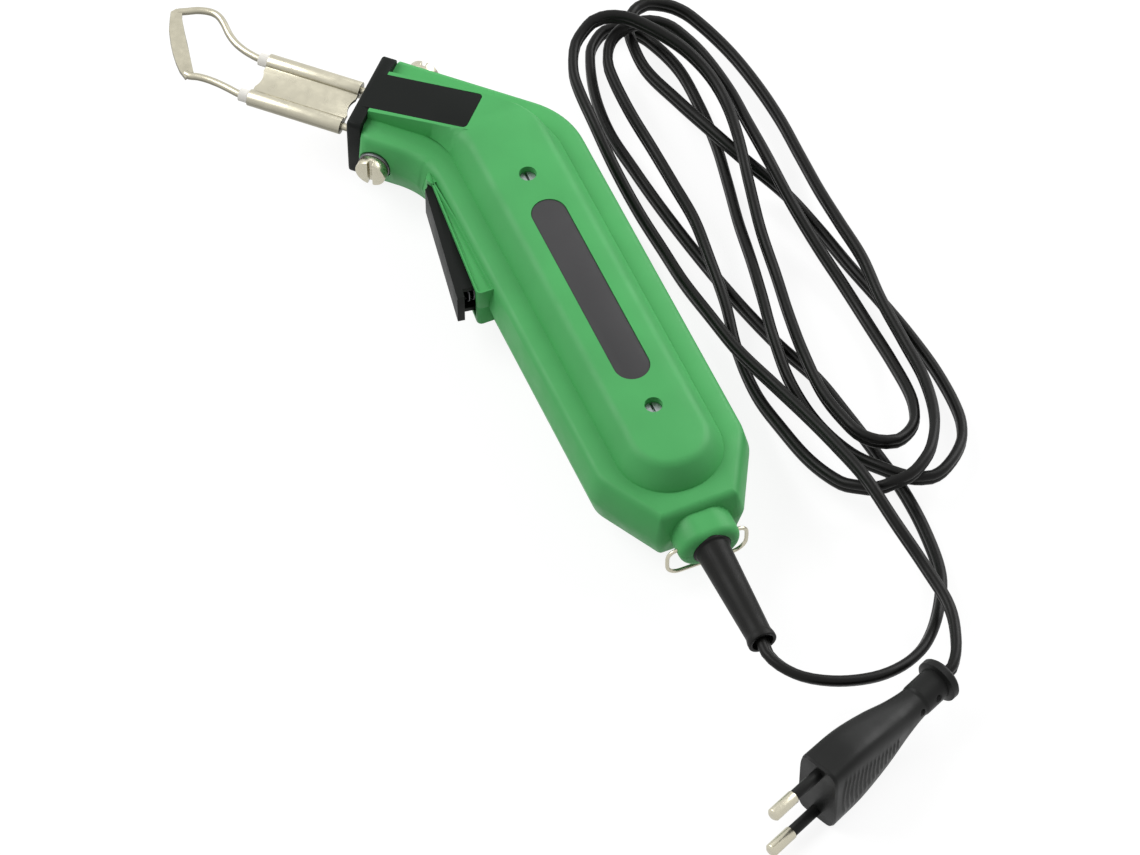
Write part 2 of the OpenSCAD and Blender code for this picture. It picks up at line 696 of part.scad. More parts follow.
module switch_body() {
    color([0.14, 0.14, 0.15]) in_part() difference() {
        span([switch_x - switch_half, switch_top - switch_deep, -cav_h],
            [switch_x + switch_half, switch_top, cav_h]);
        translate([switch_x, 0, 0])
            rod_y(switch_top - plunger_in - plunger_well, switch_top + over, plunger_r + run_gap);
    }
}
module switch_plunger() {
    color([0.8, 0.2, 0.15]) in_part() translate([switch_x, 0, 0])
        rod_y(switch_top - plunger_in, plunger_top, plunger_r);
}

// Transformer
core_set = 2;
core_end = 2.6;
core_from = coil_from + core_set;
core_to = coil_to - core_end;
yoke = 6;
core_leg = core_half * 0.29;
tube_wall = 0.8;
bob_from = core_from + yoke + fit_gap;
bob_to = core_to - yoke - fit_gap;
bob_mid = bob_from + (bob_to - bob_from) * 0.62;
bob_flange = 1.6;
module transformer_core() {
    color([0.42, 0.42, 0.44]) in_part() difference() {
        span([core_from, -core_half, -cav_h], [core_to, core_half, cav_h]);
        for (s = [-1, 1]) translate([core_from + yoke, s > 0 ? core_leg : -core_half + limb, -cav_h - over])
            cube([core_to - core_from - yoke * 2, core_half - limb - core_leg, cav_h * 2 + over * 2]);
    }
}
module leg_hole(grow) {
    span([bob_from - over, -core_leg - grow, -cav_h - grow], [bob_to + over, core_leg + grow, cav_h + grow]);
}
module bobbin() {
    color([0.86, 0.84, 0.76]) in_part() difference() {
        union() {
            span([bob_from, -core_leg - tube_wall, -cav_h - tube_wall],
                [bob_to, core_leg + tube_wall, cav_h + tube_wall]);
            coil_prism(bob_from, bob_from + bob_flange, coil_y - lap, coil_z - lap, coil_cut);
            coil_prism(bob_mid, bob_mid + bob_flange, coil_y - lap, coil_z - lap, coil_cut);
        }
        leg_hole(fit_gap);
    }
}
module primary_winding() {
    color([0.62, 0.32, 0.14]) in_part() difference() {
        coil_prism(bob_from + bob_flange, bob_mid, coil_y - lap * 3, coil_z - lap * 3, coil_cut);
        leg_hole(tube_wall);
    }
}
module secondary_winding() {
    color([0.72, 0.4, 0.18]) in_part() difference() {
        coil_prism(bob_mid + bob_flange, bob_to, coil_y - lap * 4, coil_z - lap * 4, coil_cut);
        leg_hole(tube_wall);
    }
}
bar_thick = 1.5;
bar_y = (pillar_r + switch_top - switch_deep) / 2;
bar_half = 4;
bar_clear = 0.3;
bar_deep = 2.2;
bar_set = 0.6;
bar_low = cav_h + bar_clear;
bar_high = bar_low + bar_deep;
bar_drop = core_to + bar_set;
function bar_turn(s) = meet([0, s * bar_y], along, head_pt(0, s * leg_half), head_dir);
module busbar(s) {
    turn = bar_turn(s);
    color([0.75, 0.42, 0.2]) in_part() union() {
        translate([0, s * bar_y + bar_thick / 2, 0]) rotate([90, 0, 0]) linear_extrude(bar_thick)
            polygon([[bob_to, bar_low], [bob_to, bar_high], [bar_drop + bar_half / 2, bar_high],
                [bar_drop + bar_half / 2, bar_half], [turn[0] + bar_thick / 2, bar_half],
                [turn[0] + bar_thick / 2, -bar_half], [bar_drop, -bar_half], [bar_drop, bar_low]]);
        head_local() translate([0, s * leg_half, 0])
            span([(turn - [bend_x, 0]) * head_dir - lap, -bar_thick / 2 + lap / 4, -bar_half + lap],
                [term_from, bar_thick / 2 - lap / 4, bar_half - lap]);
    }
}
module busbar_far() { busbar(-1); }
module busbar_near() { busbar(1); }

// Cord clamp and sleeve
module cord_clamp() {
    color([0.2, 0.2, 0.21]) in_part() difference() {
        span([clamp_from, -clamp_half, rib_top], [clamp_to, clamp_half, rib_top + bar_h]);
        for (y = [-clamp_screw_y, clamp_screw_y])
            translate([(clamp_from + clamp_to) / 2, y, 0]) rod_z(0, cav_h, screw_r + fit_gap);
    }
}
bar_screw_head = 0.9;
module clamp_bar_screws() {
    color([0.72, 0.72, 0.73]) in_part() for (y = [-clamp_screw_y, clamp_screw_y])
        translate([(clamp_from + clamp_to) / 2, y, 0]) {
            rod_z(-cav_h + lap * 2, rib_top + bar_h + lap, screw_r * 0.8 - fit_gap * 0.2);
            rod_z(rib_top + bar_h, rib_top + bar_h + bar_screw_head, screw_head_r);
        }
}
lip_len = 2;
lip_out = 0.4;
lip_r = sleeve_tip_r + lip_out;
inner_r = groove_r - fit_gap;
module bend_sleeve() {
    color([0.08, 0.08, 0.08]) in_part() rotate([0, -90, 0]) rotate_extrude($fn = round_fn)
        polygon([[cord_bore, -groove_to + lap], [inner_r, -groove_to + lap], [inner_r, -groove_from - lap],
            [neck_r, -groove_from - lap], [neck_r, -collar_end - flange_len],
            [flange_r, -collar_end - flange_len],
            [flange_r, -collar_end + lap], [sleeve_r, -collar_end + lap * 3],
            [sleeve_tip_r, -sleeve_end - lip_len * 1.6],
            [lip_r, -sleeve_end - lip_len * 0.7], [lip_r, -sleeve_end], [cord_bore, -sleeve_end]]);
}
bail_sides = 8;
bail_bend = 2.8;
bail_pts = [[-bail_half + bail_bend, 0], [-bail_half + bail_bend * 0.3, -bail_bend * 0.3],
    [-bail_half, -bail_bend], [-bail_half, -bail_drop + bail_bend],
    [-bail_half + bail_bend * 0.3, -bail_drop + bail_bend * 0.3], [-bail_half + bail_bend, -bail_drop]];
bail_path = concat(bail_pts, [for (i = [len(bail_pts) - 1:-1:0]) [-bail_pts[i][0], bail_pts[i][1]]]);
module hanging_bail() {
    color([0.7, 0.7, 0.7]) in_part() translate([bail_x, 0, 0]) {
        skin(sweep_rings([for (p = bail_path) [0, p[0], p[1]]], [1, 0, 0], bail_r, bail_r, bail_sides));
        rod_y(bail_in, bail_half - bail_bend + lap, bail_r);
        rod_y(-bail_half + bail_bend - lap, -bail_in, bail_r);
    }
}

// Cord route on the table, from the sleeve to the plug, strands humped over each other
route_free = [
    [-146, -26, 17], [-154, -30, 17], [-158, -33, 16.5], [-160.5, -38.5, 16], [-162, -46, 14.5],
    [-160.5, -58.5, 11.5], [-155, -70, 8.5], [-145.5, -79.5, 5.5], [-134, -86, 4], [-118.5, -89, 3],
    [-102.5, -89.5, 3], [-86.5, -88, 3], [-70.5, -86, 3], [-55, -83.5, 3], [-40, -78.5, 3],
    [-24, -74.5, 3], [-8.5, -71.5, 3], [7.5, -69, 3], [23, -67, 3], [39, -65.5, 3], [55, -64.5, 3],
    [71, -66.5, 3], [86, -71.5, 3], [90.5, -75.5, 3], [92.5, -79, 3], [92.5, -82, 3], [92, -83.5, 3],
    [90, -86, 3], [84.5, -90, 3], [70, -94, 3], [54, -94, 3], [38, -92.5, 3], [22.5, -89.5, 3],
    [7, -86, 4], [-8.5, -83, 6], [-24, -79.5, 8.5], [-40, -76, 9], [-55.5, -74.5, 6.5], [-71, -76, 5],
    [-86.5, -80, 7], [-96.5, -86, 9], [-101.5, -91, 9], [-103, -94.5, 8.5], [-103.5, -97.5, 8],
    [-102.5, -101.5, 7.5], [-98, -108, 6.5], [-92, -113, 5], [-83.5, -116, 4], [-67.5, -117, 3],
    [-51.5, -115.5, 3], [-36, -113, 3], [-20, -110, 3], [-4.5, -107.5, 3], [11, -103.5, 4.5],
    [25, -96.5, 8], [40, -91, 9], [55.5, -87, 7.5], [71, -83.5, 6.5], [82.5, -83.5, 8.5],
    [87.5, -85, 8.5], [90.5, -87, 9], [93, -90.5, 8.5], [93.5, -93.5, 8.5], [93, -97, 7.5],
    [90.5, -101.5, 6.5], [86, -105.5, 5], [71.5, -111, 3], [55.5, -113.5, 3], [39.5, -114.5, 3],
    [23.5, -114, 3.5], [7.5, -113, 5.5], [-8, -112.5, 8], [-24, -112.5, 9.5], [-40, -111, 9.5],
    [-56, -111, 8.5], [-72, -110, 10], [-87, -106, 12.5], [-98, -99.5, 14.5], [-103, -93.5, 15],
    [-105, -89, 15], [-105, -84, 14.5], [-104, -79.5, 13], [-101, -75.5, 12], [-96.5, -71.5, 10.5],
    [-84.5, -67.5, 8], [-69, -65.5, 5.5], [-53.5, -64.5, 3.5], [-37.5, -65.5, 5], [-22, -68.5, 8],
    [-6, -70.5, 9.5], [9.5, -72.5, 9], [25.5, -73, 7], [41.5, -73, 6], [57, -71.5, 9],
    [71.5, -71.5, 12], [77, -73.5, 13], [80, -76, 14], [82, -79.5, 14.5], [83, -83.5, 14.5],
    [82, -89.5, 14.5], [79.5, -94, 13.5], [76.5, -96.5, 12.5], [67, -100.5, 10.5], [51, -102.5, 10],
    [35.5, -101.5, 12.5], [19.5, -101, 13.5], [3.5, -101.5, 10.5], [-12, -103, 7], [-27.5, -105, 4],
    [-43.5, -106, 3], [-59.5, -106, 4.5], [-75, -104.5, 7.5], [-83.5, -101.5, 9], [-87, -98.5, 10],
    [-89, -95, 10.5], [-90, -92.5, 11.5], [-89.5, -89.5, 12], [-88.5, -87, 12.5], [-85.5, -84, 12.5],
    [-81, -82, 12.5], [-65.5, -80.5, 10], [-49.5, -81.5, 9.5], [-33.5, -84, 8], [-18, -87, 7],
    [-2.5, -89, 9.5], [13, -92, 13], [28.5, -95.5, 15], [44, -98, 14.5], [56, -97, 16],
    [67, -92.5, 18.5], [79.5, -83, 21], [83, -78.5, 21], [84.5, -74.5, 20.5], [84.5, -71.5, 20],
    [83, -68, 19], [80, -64, 18], [75, -61, 17], [68.5, -59, 15.5], [53, -58.5, 12.5], [37, -58.5, 9],
    [21.5, -59.5, 5.5], [5.5, -60.5, 5], [-10, -60.5, 7.5], [-26, -61.5, 10.5], [-41.5, -64, 10.5],
    [-57, -68.5, 10.5], [-72.5, -71.5, 13.5], [-88, -74, 16.5], [-103.5, -76, 19], [-119, -78, 16.5],
    [-134.5, -80.5, 13], [-149.5, -81, 12.5], [-162, -77, 13], [-168.5, -72.5, 13], [-170, -69, 13]
];
cord_in = [[clamp_to - frame_x, -frame_y, thick_half], [end_x - frame_x, -frame_y, thick_half],
    [sleeve_end - frame_x, -frame_y, thick_half]];
route = concat(cord_in, route_free);
cord_sides = 6;
module power_cord() {
    color([0.07, 0.07, 0.07]) skin(sweep_rings(route, up_axis, cord_thick / 2, cord_wide / 2, cord_sides));
}

// Plug, drawn from its rear face along +X with its broad side upright
plug_rear = route_free[len(route_free) - 1];
plug_deg = 113.2;
plug_body_len = 53;
plug_ring_n = 20;
// Length, width and thickness shares and the squareness of each section of the plug body
plug_shares = [[0, 0.46, 0.88, 1], [0.012, 0.52, 0.98, 1], [0.05, 0.52, 0.98, 1], [0.058, 0.385, 0.73, 1],
    [0.21, 0.385, 0.73, 1], [0.235, 0.36, 0.69, 0.95], [0.36, 0.45, 0.77, 0.8], [0.55, 0.7, 0.92, 0.68],
    [0.78, 0.95, 1, 0.62], [0.975, 1, 1, 0.62], [1, 0.95, 0.94, 0.62]];
thick_shares = [for (p = plug_shares) [p[0], p[2]]];
function soft(v, k) = sign(v) * pow(abs(v), k);
module plug_at() {
    translate([plug_rear[0], plug_rear[1], plug_wide / 2]) rotate([0, 0, plug_deg])
        translate([fit_gap, 0, 0]) children();
}
grip_num = 11;
grip_from_share = 0.5;
grip_step_share = 0.042;
grip_half_share = 0.2;
grip_grow_share = 0.014;
grip_thick = 0.9;
grip_out = 0.45;
pin_root = 8;
pin_core_r = 1.3;
sleeve_thin = 0.3;
sleeve_share = 0.53;
pin_tip = 0.7;
module plug_body() {
    color([0.06, 0.06, 0.06]) plug_at() difference() {
        union() {
            skin([for (p = plug_shares) [for (i = [0:plug_ring_n - 1]) [p[0] * plug_body_len,
                -p[2] * plug_thick / 2 * soft(cos(360 * i / plug_ring_n), p[3]),
                p[1] * plug_wide / 2 * soft(sin(360 * i / plug_ring_n), p[3])]]]);
            for (i = [0:grip_num - 1]) {
                place = grip_from_share + grip_step_share * i;
                half = lookup(place, thick_shares) * plug_thick / 2 + grip_out;
                rise = plug_wide * (grip_half_share + grip_grow_share * i);
                translate([place * plug_body_len, 0, 0]) span([0, -half, -rise], [grip_thick, half, rise]);
            }
        }
        for (s = [-1, 1]) translate([0, 0, s * pin_gap / 2])
            rod_x(plug_body_len - pin_root, plug_body_len + over, pin_core_r + fit_gap * 0.2);
    }
}
module plug_pins() {
    color([0.78, 0.77, 0.74]) plug_at() for (s = [-1, 1]) translate([0, 0, s * pin_gap / 2]) {
        rod_x(plug_body_len - pin_root, plug_body_len + pin_len * sleeve_share + lap, pin_core_r);
        rod_x(plug_body_len + pin_len * sleeve_share, plug_body_len + pin_len - pin_tip, pin_r);
        translate([plug_body_len + pin_len - pin_tip, 0, 0]) rotate([0, 90, 0])
            cylinder(h = pin_tip, r1 = pin_r, r2 = pin_r - pin_tip, $fn = round_fn);
    }
}
module pin_sleeves() {
    color([0.06, 0.06, 0.06]) plug_at() for (s = [-1, 1]) translate([0, 0, s * pin_gap / 2]) difference() {
        rod_x(plug_body_len, plug_body_len + pin_len * sleeve_share, pin_r - sleeve_thin);
        rod_x(plug_body_len - over, plug_body_len + pin_len, pin_core_r + fit_gap * 0.2);
    }
}

upper_shell();
lower_shell();
label_plate();
head_block();
terminal_far();
terminal_near();
case_screws();
case_nuts();
blade();
ceramic_tubes();
blade_holder();
clamp_screw_far();
clamp_screw_near();
clamp_washer_far();
clamp_washer_near();
trigger();
pivot_pin();
trigger_spring();
switch_body();
switch_plunger();
transformer_core();
bobbin();
primary_winding();
secondary_winding();
busbar_far();
busbar_near();
cord_clamp();
clamp_bar_screws();
bend_sleeve();
hanging_bail();
power_cord();
plug_body();
plug_pins();
pin_sleeves();
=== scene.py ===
"""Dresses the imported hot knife: flat cord, moulded housing, blade, plug, finishes and a pale stage."""

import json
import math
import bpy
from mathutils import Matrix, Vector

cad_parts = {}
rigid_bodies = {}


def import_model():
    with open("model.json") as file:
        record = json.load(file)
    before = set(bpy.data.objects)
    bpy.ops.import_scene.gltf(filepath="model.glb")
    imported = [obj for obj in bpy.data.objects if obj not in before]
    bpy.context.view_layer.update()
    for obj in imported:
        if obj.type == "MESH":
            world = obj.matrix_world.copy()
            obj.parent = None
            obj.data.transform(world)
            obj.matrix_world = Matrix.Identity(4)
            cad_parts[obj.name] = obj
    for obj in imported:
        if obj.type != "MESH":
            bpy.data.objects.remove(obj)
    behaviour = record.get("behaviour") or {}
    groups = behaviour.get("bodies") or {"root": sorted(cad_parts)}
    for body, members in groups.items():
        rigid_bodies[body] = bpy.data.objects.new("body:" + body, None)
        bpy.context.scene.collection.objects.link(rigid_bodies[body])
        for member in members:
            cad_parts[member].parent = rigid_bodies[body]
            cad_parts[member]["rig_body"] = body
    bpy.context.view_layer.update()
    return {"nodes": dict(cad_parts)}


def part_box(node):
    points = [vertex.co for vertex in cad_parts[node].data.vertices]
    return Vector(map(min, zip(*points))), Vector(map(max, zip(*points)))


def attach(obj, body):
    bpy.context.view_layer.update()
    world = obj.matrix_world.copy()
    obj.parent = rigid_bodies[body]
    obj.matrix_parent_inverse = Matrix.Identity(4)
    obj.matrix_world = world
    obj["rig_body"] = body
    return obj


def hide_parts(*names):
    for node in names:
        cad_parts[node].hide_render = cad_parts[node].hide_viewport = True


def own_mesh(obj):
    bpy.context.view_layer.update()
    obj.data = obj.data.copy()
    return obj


bl_info = {
    "name": "Hot Knife Dressing",
    "version": (1, 0, 0),
    "blender": (4, 5, 0),
    "location": "View3D > Sidebar > Hot Knife",
    "description": "Dresses the packed hot knife with its cord, fine shapes, finishes and stage",
    "category": "Object",
}

import bmesh
import bpy
from bpy.props import FloatProperty, FloatVectorProperty, IntProperty, PointerProperty
from mathutils import Vector

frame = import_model()
NODES = frame["nodes"]
MM = 0.001
UP = Vector((0, 0, 1))

# Places in the part's frame, in millimetres
BEND = (50.4295, -25.8959, 17.0)
BEND_TURN = math.radians(45)
BEND_ACROSS = Vector((math.cos(BEND_TURN / 2), math.sin(BEND_TURN / 2)))
BEND_OUT = Vector((-math.sin(BEND_TURN / 2), math.cos(BEND_TURN / 2)))
SLEEVE_EXIT = (-142.0705, -25.8959, 17.0)
CORD_START = (-118.0, -25.8959, 17.0)
PLUG_REAR = (-170.0, -69.0, 13.0)
PLUG_TURN = math.radians(113.2)
BAIL = (-103.5705, -25.8959, 17.0)

# Cord route from the bend sleeve to the plug, in millimetres
CORD_ROUTE = [
    (-146, -25.5, 17), (-151.3, -27.2, 17), (-156.6, -31.6, 16.5), (-160.6, -38.8, 15.5),
    (-162.6, -47.3, 14), (-162.6, -55, 12.5), (-160.2, -63.4, 10.5), (-155.4, -71, 8.5),
    (-145.5, -79.5, 5.5), (-134, -86, 4), (-118.5, -89, 3), (-102.5, -89.5, 3), (-86.5, -88, 3),
    (-70.5, -86, 3), (-55, -83.5, 3), (-40, -78.5, 3),
    (-24, -74.5, 3), (-8.5, -71.5, 3), (7.5, -69, 3), (23, -67, 3), (39, -65.5, 3), (55, -64.5, 3),
    (71, -66.5, 3), (86, -71.5, 3), (90.5, -75.5, 3), (92.5, -79, 3), (92.5, -82, 3), (92, -83.5, 3),
    (90, -86, 3), (84.5, -90, 3), (70, -94, 3), (54, -94, 3), (38, -92.5, 3), (22.5, -89.5, 3),
    (7, -86, 4), (-8.5, -83, 6), (-24, -79.5, 8.5), (-40, -76, 9), (-55.5, -74.5, 6.5), (-71, -76, 5),
    (-86.5, -80, 7), (-96.5, -86, 9), (-101.5, -91, 9), (-103, -94.5, 8.5), (-103.5, -97.5, 8),
    (-102.5, -101.5, 7.5), (-98, -108, 6.5), (-92, -113, 5), (-83.5, -116, 4), (-67.5, -117, 3),
    (-51.5, -115.5, 3), (-36, -113, 3), (-20, -110, 3), (-4.5, -107.5, 3), (11, -103.5, 4.5),
    (25, -96.5, 8), (40, -91, 9), (55.5, -87, 7.5), (71, -83.5, 6.5), (82.5, -83.5, 8.5),
    (87.5, -85, 8.5), (90.5, -87, 9), (93, -90.5, 8.5), (93.5, -93.5, 8.5), (93, -97, 7.5),
    (90.5, -101.5, 6.5), (86, -105.5, 5), (71.5, -111, 3), (55.5, -113.5, 3), (39.5, -114.5, 3),
    (23.5, -114, 3.5), (7.5, -113, 5.5), (-8, -112.5, 8), (-24, -112.5, 9.5), (-40, -111, 9.5),
    (-56, -111, 8.5), (-72, -110, 10), (-87, -106, 12.5), (-98, -99.5, 14.5), (-103, -93.5, 15),
    (-105, -89, 15), (-105, -84, 14.5), (-104, -79.5, 13), (-101, -75.5, 12), (-96.5, -71.5, 10.5),
    (-84.5, -67.5, 8), (-69, -65.5, 5.5), (-53.5, -64.5, 3.5), (-37.5, -65.5, 5), (-22, -68.5, 8),
    (-6, -70.5, 9.5), (9.5, -72.5, 9), (25.5, -73, 7), (41.5, -73, 6), (57, -71.5, 9),
    (71.5, -71.5, 12), (77, -73.5, 13), (80, -76, 14), (82, -79.5, 14.5), (83, -83.5, 14.5),
    (82, -89.5, 14.5), (79.5, -94, 13.5), (76.5, -96.5, 12.5), (67, -100.5, 10.5), (51, -102.5, 10),
    (35.5, -101.5, 12.5), (19.5, -101, 13.5), (3.5, -101.5, 10.5), (-12, -103, 7), (-27.5, -105, 4),
    (-43.5, -106, 3), (-59.5, -106, 4.5), (-75, -104.5, 7.5), (-83.5, -101.5, 9), (-87, -98.5, 10),
    (-89, -95, 10.5), (-90, -92.5, 11.5), (-89.5, -89.5, 12), (-88.5, -87, 12.5), (-85.5, -84, 12.5),
    (-81, -82, 12.5), (-65.5, -80.5, 10), (-49.5, -81.5, 9.5), (-33.5, -84, 8), (-18, -87, 7),
    (-2.5, -89, 9.5), (13, -92, 13), (28.5, -95.5, 15), (44, -98, 14.5), (56, -97, 16),
    (67, -92.5, 18.5), (79.5, -83, 21), (83, -78.5, 21), (84.5, -74.5, 20.5), (84.5, -71.5, 20),
    (83, -68, 19), (80, -64, 18), (75, -61, 17), (68.5, -59, 15.5), (53, -58.5, 12.5), (37, -58.5, 9),
    (21.5, -59.5, 5.5), (5.5, -60.5, 5), (-10, -60.5, 7.5), (-26, -61.5, 10.5), (-41.5, -64, 10.5),
    (-57, -68.5, 10.5), (-72.5, -71.5, 13.5), (-88, -74, 16.5), (-103.5, -76, 19), (-119, -78, 16.5),
    (-134.5, -80.5, 13), (-149.5, -81, 12.5), (-162, -77, 13), (-168.5, -72.5, 13), (-170, -69, 13),
]

# Centre lines of the blade's wire in the head's frame: distance from the bend, then sideways
LEG_SIDE = 7.5
LEG_FROM = 27.0
FAR_WIRE = [
    (76, -7.5), (80, -7.5), (82, -7.5), (86, -8.4), (89, -9.5), (91.6, -10.9), (94.5, -13.2), (97, -15.8),
    (99, -17.6), (101, -18.7), (103.4, -19), (107, -18.2), (110, -16.6), (112.4, -15.4),
]
NEAR_WIRE = [
    (76, 7.5), (80, 7.5), (82, 7.5), (85.4, 6.8), (89.5, 6.1), (93.5, 5.8), (96.5, 6), (98.8, 6.6),
    (100.4, 6.2),
]
STRIP_OUTER = [
    (114.5, -14.4), (113.6, -11.6), (112, -7.4), (109.5, -2.9), (107.2, 0.5), (104.7, 3.7), (102.2, 6.4),
    (99.4, 8.4),
]
STRIP_INNER = [
    (98, 5.2), (100.2, 1.9), (102.4, -1.5), (104.6, -4.9), (107, -8.4), (109.3, -11.9), (110.4, -13.8),
    (111.4, -16.4), (113.4, -16.2),
]

# Sections of the plug as shares of its length, width and thickness, and how round each is
PLUG_SECTION_SHARES = [
    (0, 0.46, 0.88, 1), (0.012, 0.52, 0.98, 1), (0.05, 0.52, 0.98, 1), (0.058, 0.385, 0.73, 1),
    (0.21, 0.385, 0.73, 1), (0.235, 0.36, 0.69, 0.95), (0.36, 0.46, 0.77, 0.75), (0.55, 0.74, 0.93, 0.55),
    (0.76, 0.96, 1, 0.4), (0.985, 1, 1, 0.32), (1, 0.97, 0.955, 0.32),
]
PLUG_NECK_HOLE_SHARES = (0.135, 0.26)

# Meshes: angles in degrees above which edges stay sharp, are rounded, or are joined into one face
SMOOTH_DEG = 40.0
ROUND_DEG = 35.0
FLAT_DEG = 0.6
JOIN_GAP = 0.002 * MM
SMALL_ROUND = 0.5 * MM
SMALL_ROUND_PARTS = 2
LARGE_ROUND_PARTS = 5

# Moulded finishes: material, colour, roughness, grain and its depth in millimetres, and shine
MOULDED = {
    "green": ("satin_green", "moulded_green", 0.5, 0.35, 0.012, 0.3),
    "black": ("satin_black", "moulded_black", 0.5, 0.3, 0.012, 0.14),
    "label": ("label_grey", "plate_grey", 0.55, 0.2, 0.01, 0.25),
    "cord": ("cord_pvc", "cord_black", 0.4, 0.6, 0.015, 0.16),
    "rubber": ("sleeve_rubber", "cord_black", 0.48, 0.4, 0.02, 0.16),
    "plug": ("plug_pvc", "plug_black", 0.42, 0.3, 0.015, 0.18),
    "bobbin": ("bobbin_cream", "bobbin", 0.5, 0.4, 0.02, 0.5),
    "plunger": ("plunger_red", "plunger", 0.3, 0.4, 0.01, 0.5),
    "ceramic": ("white_ceramic", "ceramic", 0.6, 0.25, 0.03, 0.5),
}
TINT_SIZE = 18 * MM
TINT_SHARES = (0.95, 1.05)
GLOSS_SIZE = 6 * MM
GLOSS_SPREAD = 0.06
SAG_SIZE = 40 * MM
SAG_DEPTH = 0.3 * MM
SAG_STRENGTH = 0.25

# Metal finishes: material, colour, roughness, stretch of the marks, their depth in millimetres, and tint,
# which also sets how much darker the painted shade makes the flanks
METALS = {
    "nickel": ("nickel_plate", "nickel", 0.3, (1.0, 1.0, 1.0), 0.004, 1.0),
    "zinc": ("zinc_plate", "zinc", 0.36, (1.0, 1.0, 1.0), 0.004, 1.0),
    "sheet": ("nickel_sheet", "nickel", 0.34, (0.2, 0.2, 1.0), 0.006, 0.5),
    "wire": ("heating_wire", "hot_wire", 0.28, (0.3, 0.3, 0.3), 0.006, 0.35),
    "brass": ("terminal_brass", "brass", 0.3, (1.0, 0.2, 1.0), 0.004, 1.0),
    "copper": ("bar_copper", "copper", 0.32, (0.15, 1.0, 1.0), 0.004, 1.0),
    "iron": ("core_iron", "iron", 0.5, (0.1, 0.1, 4.0), 0.02, 1.0),
}
# Random tarnish blotches, mixed with painted shade that darkens the flanks of the metals
TARNISH_AND_SHADE_SIZE = 9 * MM
TARNISH_AND_SHADE_RANGE = (0.56, 0.7)
METAL_TINT_SHARES = (0.94, 1.04)
MARK_SIZE = 0.35 * MM
MARK_GLOSS_SIZE = 0.6 * MM
MARK_GLOSS_SPREAD = 0.09
WHITE = (1.0, 1.0, 1.0, 1.0)


def length_value(name, description, default):
    """A length that the panel shows"""
    return FloatProperty(name=name, description=description, default=default, min=0.0, unit="LENGTH")


def colour_value(name, description, default):
    """A colour that the panel shows"""
    return FloatVectorProperty(
        name=name, description=description, default=default, min=0.0, max=1.0, size=3, subtype="COLOR")


class HotKnifeSizes(bpy.types.PropertyGroup):
    """Sizes of the pieces that are made here"""

    cord_wide: length_value("Cord width", "Width of the flat cord", 5.0 * MM)
    cord_thick: length_value("Cord thickness", "Thickness of the flat cord", 3.1 * MM)
    cord_groove: length_value("Cord groove", "Depth of the groove between the two cores", 0.32 * MM)
    wire_round: length_value("Wire radius", "Radius of the blade's wire", 1.15 * MM)
    strip_thick: length_value("Strip thickness", "Thickness of the flattened cutting strip", 1.4 * MM)
    bail_round: length_value("Bail radius", "Radius of the bail's wire", 0.6 * MM)
    plug_long: length_value("Plug length", "Length of the plug body", 53 * MM)
    plug_wide: length_value("Plug width", "Width of the plug body", 26 * MM)
    plug_thick: length_value("Plug thickness", "Thickness of the plug body", 13.7 * MM)
    rib_rise: length_value("Grip rib height", "How far the plug's grip ribs stand out", 0.35 * MM)
    rib_count: IntProperty(
        name="Grip ribs", description="Number of grip ribs on each side of the plug", default=14, min=1)


class HotKnifeFinishes(bpy.types.PropertyGroup):
    """Colours of the finishes"""

    moulded_green: colour_value("Moulded green", "Colour of the housing", (0.080, 0.425, 0.123))
    moulded_black: colour_value(
        "Moulded black", "Colour of the head block and trigger", (0.006, 0.0075, 0.0065))
    plate_grey: colour_value("Plate grey", "Colour of the label plate", (0.052, 0.051, 0.053))
    nickel: colour_value("Nickel", "Colour of plated sheet and screws", (0.56, 0.53, 0.42))
    zinc: colour_value("Zinc", "Colour of the case screws and the trigger's pin", (0.36, 0.40, 0.40))
    hot_wire: colour_value("Heating wire", "Colour of the blade", (0.54, 0.51, 0.40))
    ceramic: colour_value("Ceramic", "Colour of the insulating tubes", (0.86, 0.84, 0.78))
    brass: colour_value("Brass", "Colour of the terminals", (0.72, 0.50, 0.18))
    copper: colour_value("Copper", "Colour of the bars and windings", (0.62, 0.27, 0.11))
    # On the clamp washers this dark colour is painted shade under the screw heads
    iron: colour_value("Core iron", "Colour of core, spring and clamp washers", (0.20, 0.20, 0.21))
    bobbin: colour_value("Bobbin", "Colour of the winding bobbin", (0.72, 0.68, 0.55))
    plunger: colour_value("Plunger red", "Colour of the switch plunger", (0.55, 0.05, 0.035))
    cord_black: colour_value("Cord black", "Colour of cord and sleeve", (0.0065, 0.0065, 0.006))
    plug_black: colour_value("Plug black", "Colour of the plug", (0.0105, 0.011, 0.0105))


def sizes():
    return bpy.context.scene.hot_knife_sizes


def finishes():
    return bpy.context.scene.hot_knife_finishes


# Points and lines
def spot(point):
    """A point given in millimetres, in metres"""
    return Vector(point) * MM


def head_spot(along, side, rise=0.0):
    """A point of the head, given along its axis, sideways and up in millimetres"""
    c = math.cos(BEND_TURN)
    s = math.sin(BEND_TURN)
    return spot((BEND[0] + along * c - side * s, BEND[1] + along * s + side * c, BEND[2] + rise))


def head_place(point):
    """The reverse of head_spot: along, sideways and up in millimetres"""
    c = math.cos(BEND_TURN)
    s = math.sin(BEND_TURN)
    x = point[0] / MM - BEND[0]
    y = point[1] / MM - BEND[1]
    return x * c + y * s, y * c - x * s, point[2] / MM - BEND[2]


def plug_spot(along, side, rise):
    """A point of the plug, in metres along its axis, across it and up"""
    c = math.cos(PLUG_TURN)
    s = math.sin(PLUG_TURN)
    return spot(PLUG_REAR) + Vector((along * c - side * s, along * s + side * c, rise))


def ease(share):
    """A share held between nothing and one, with smooth ends"""
    t = min(1.0, max(0.0, share))
    return t * t * (3 - 2 * t)


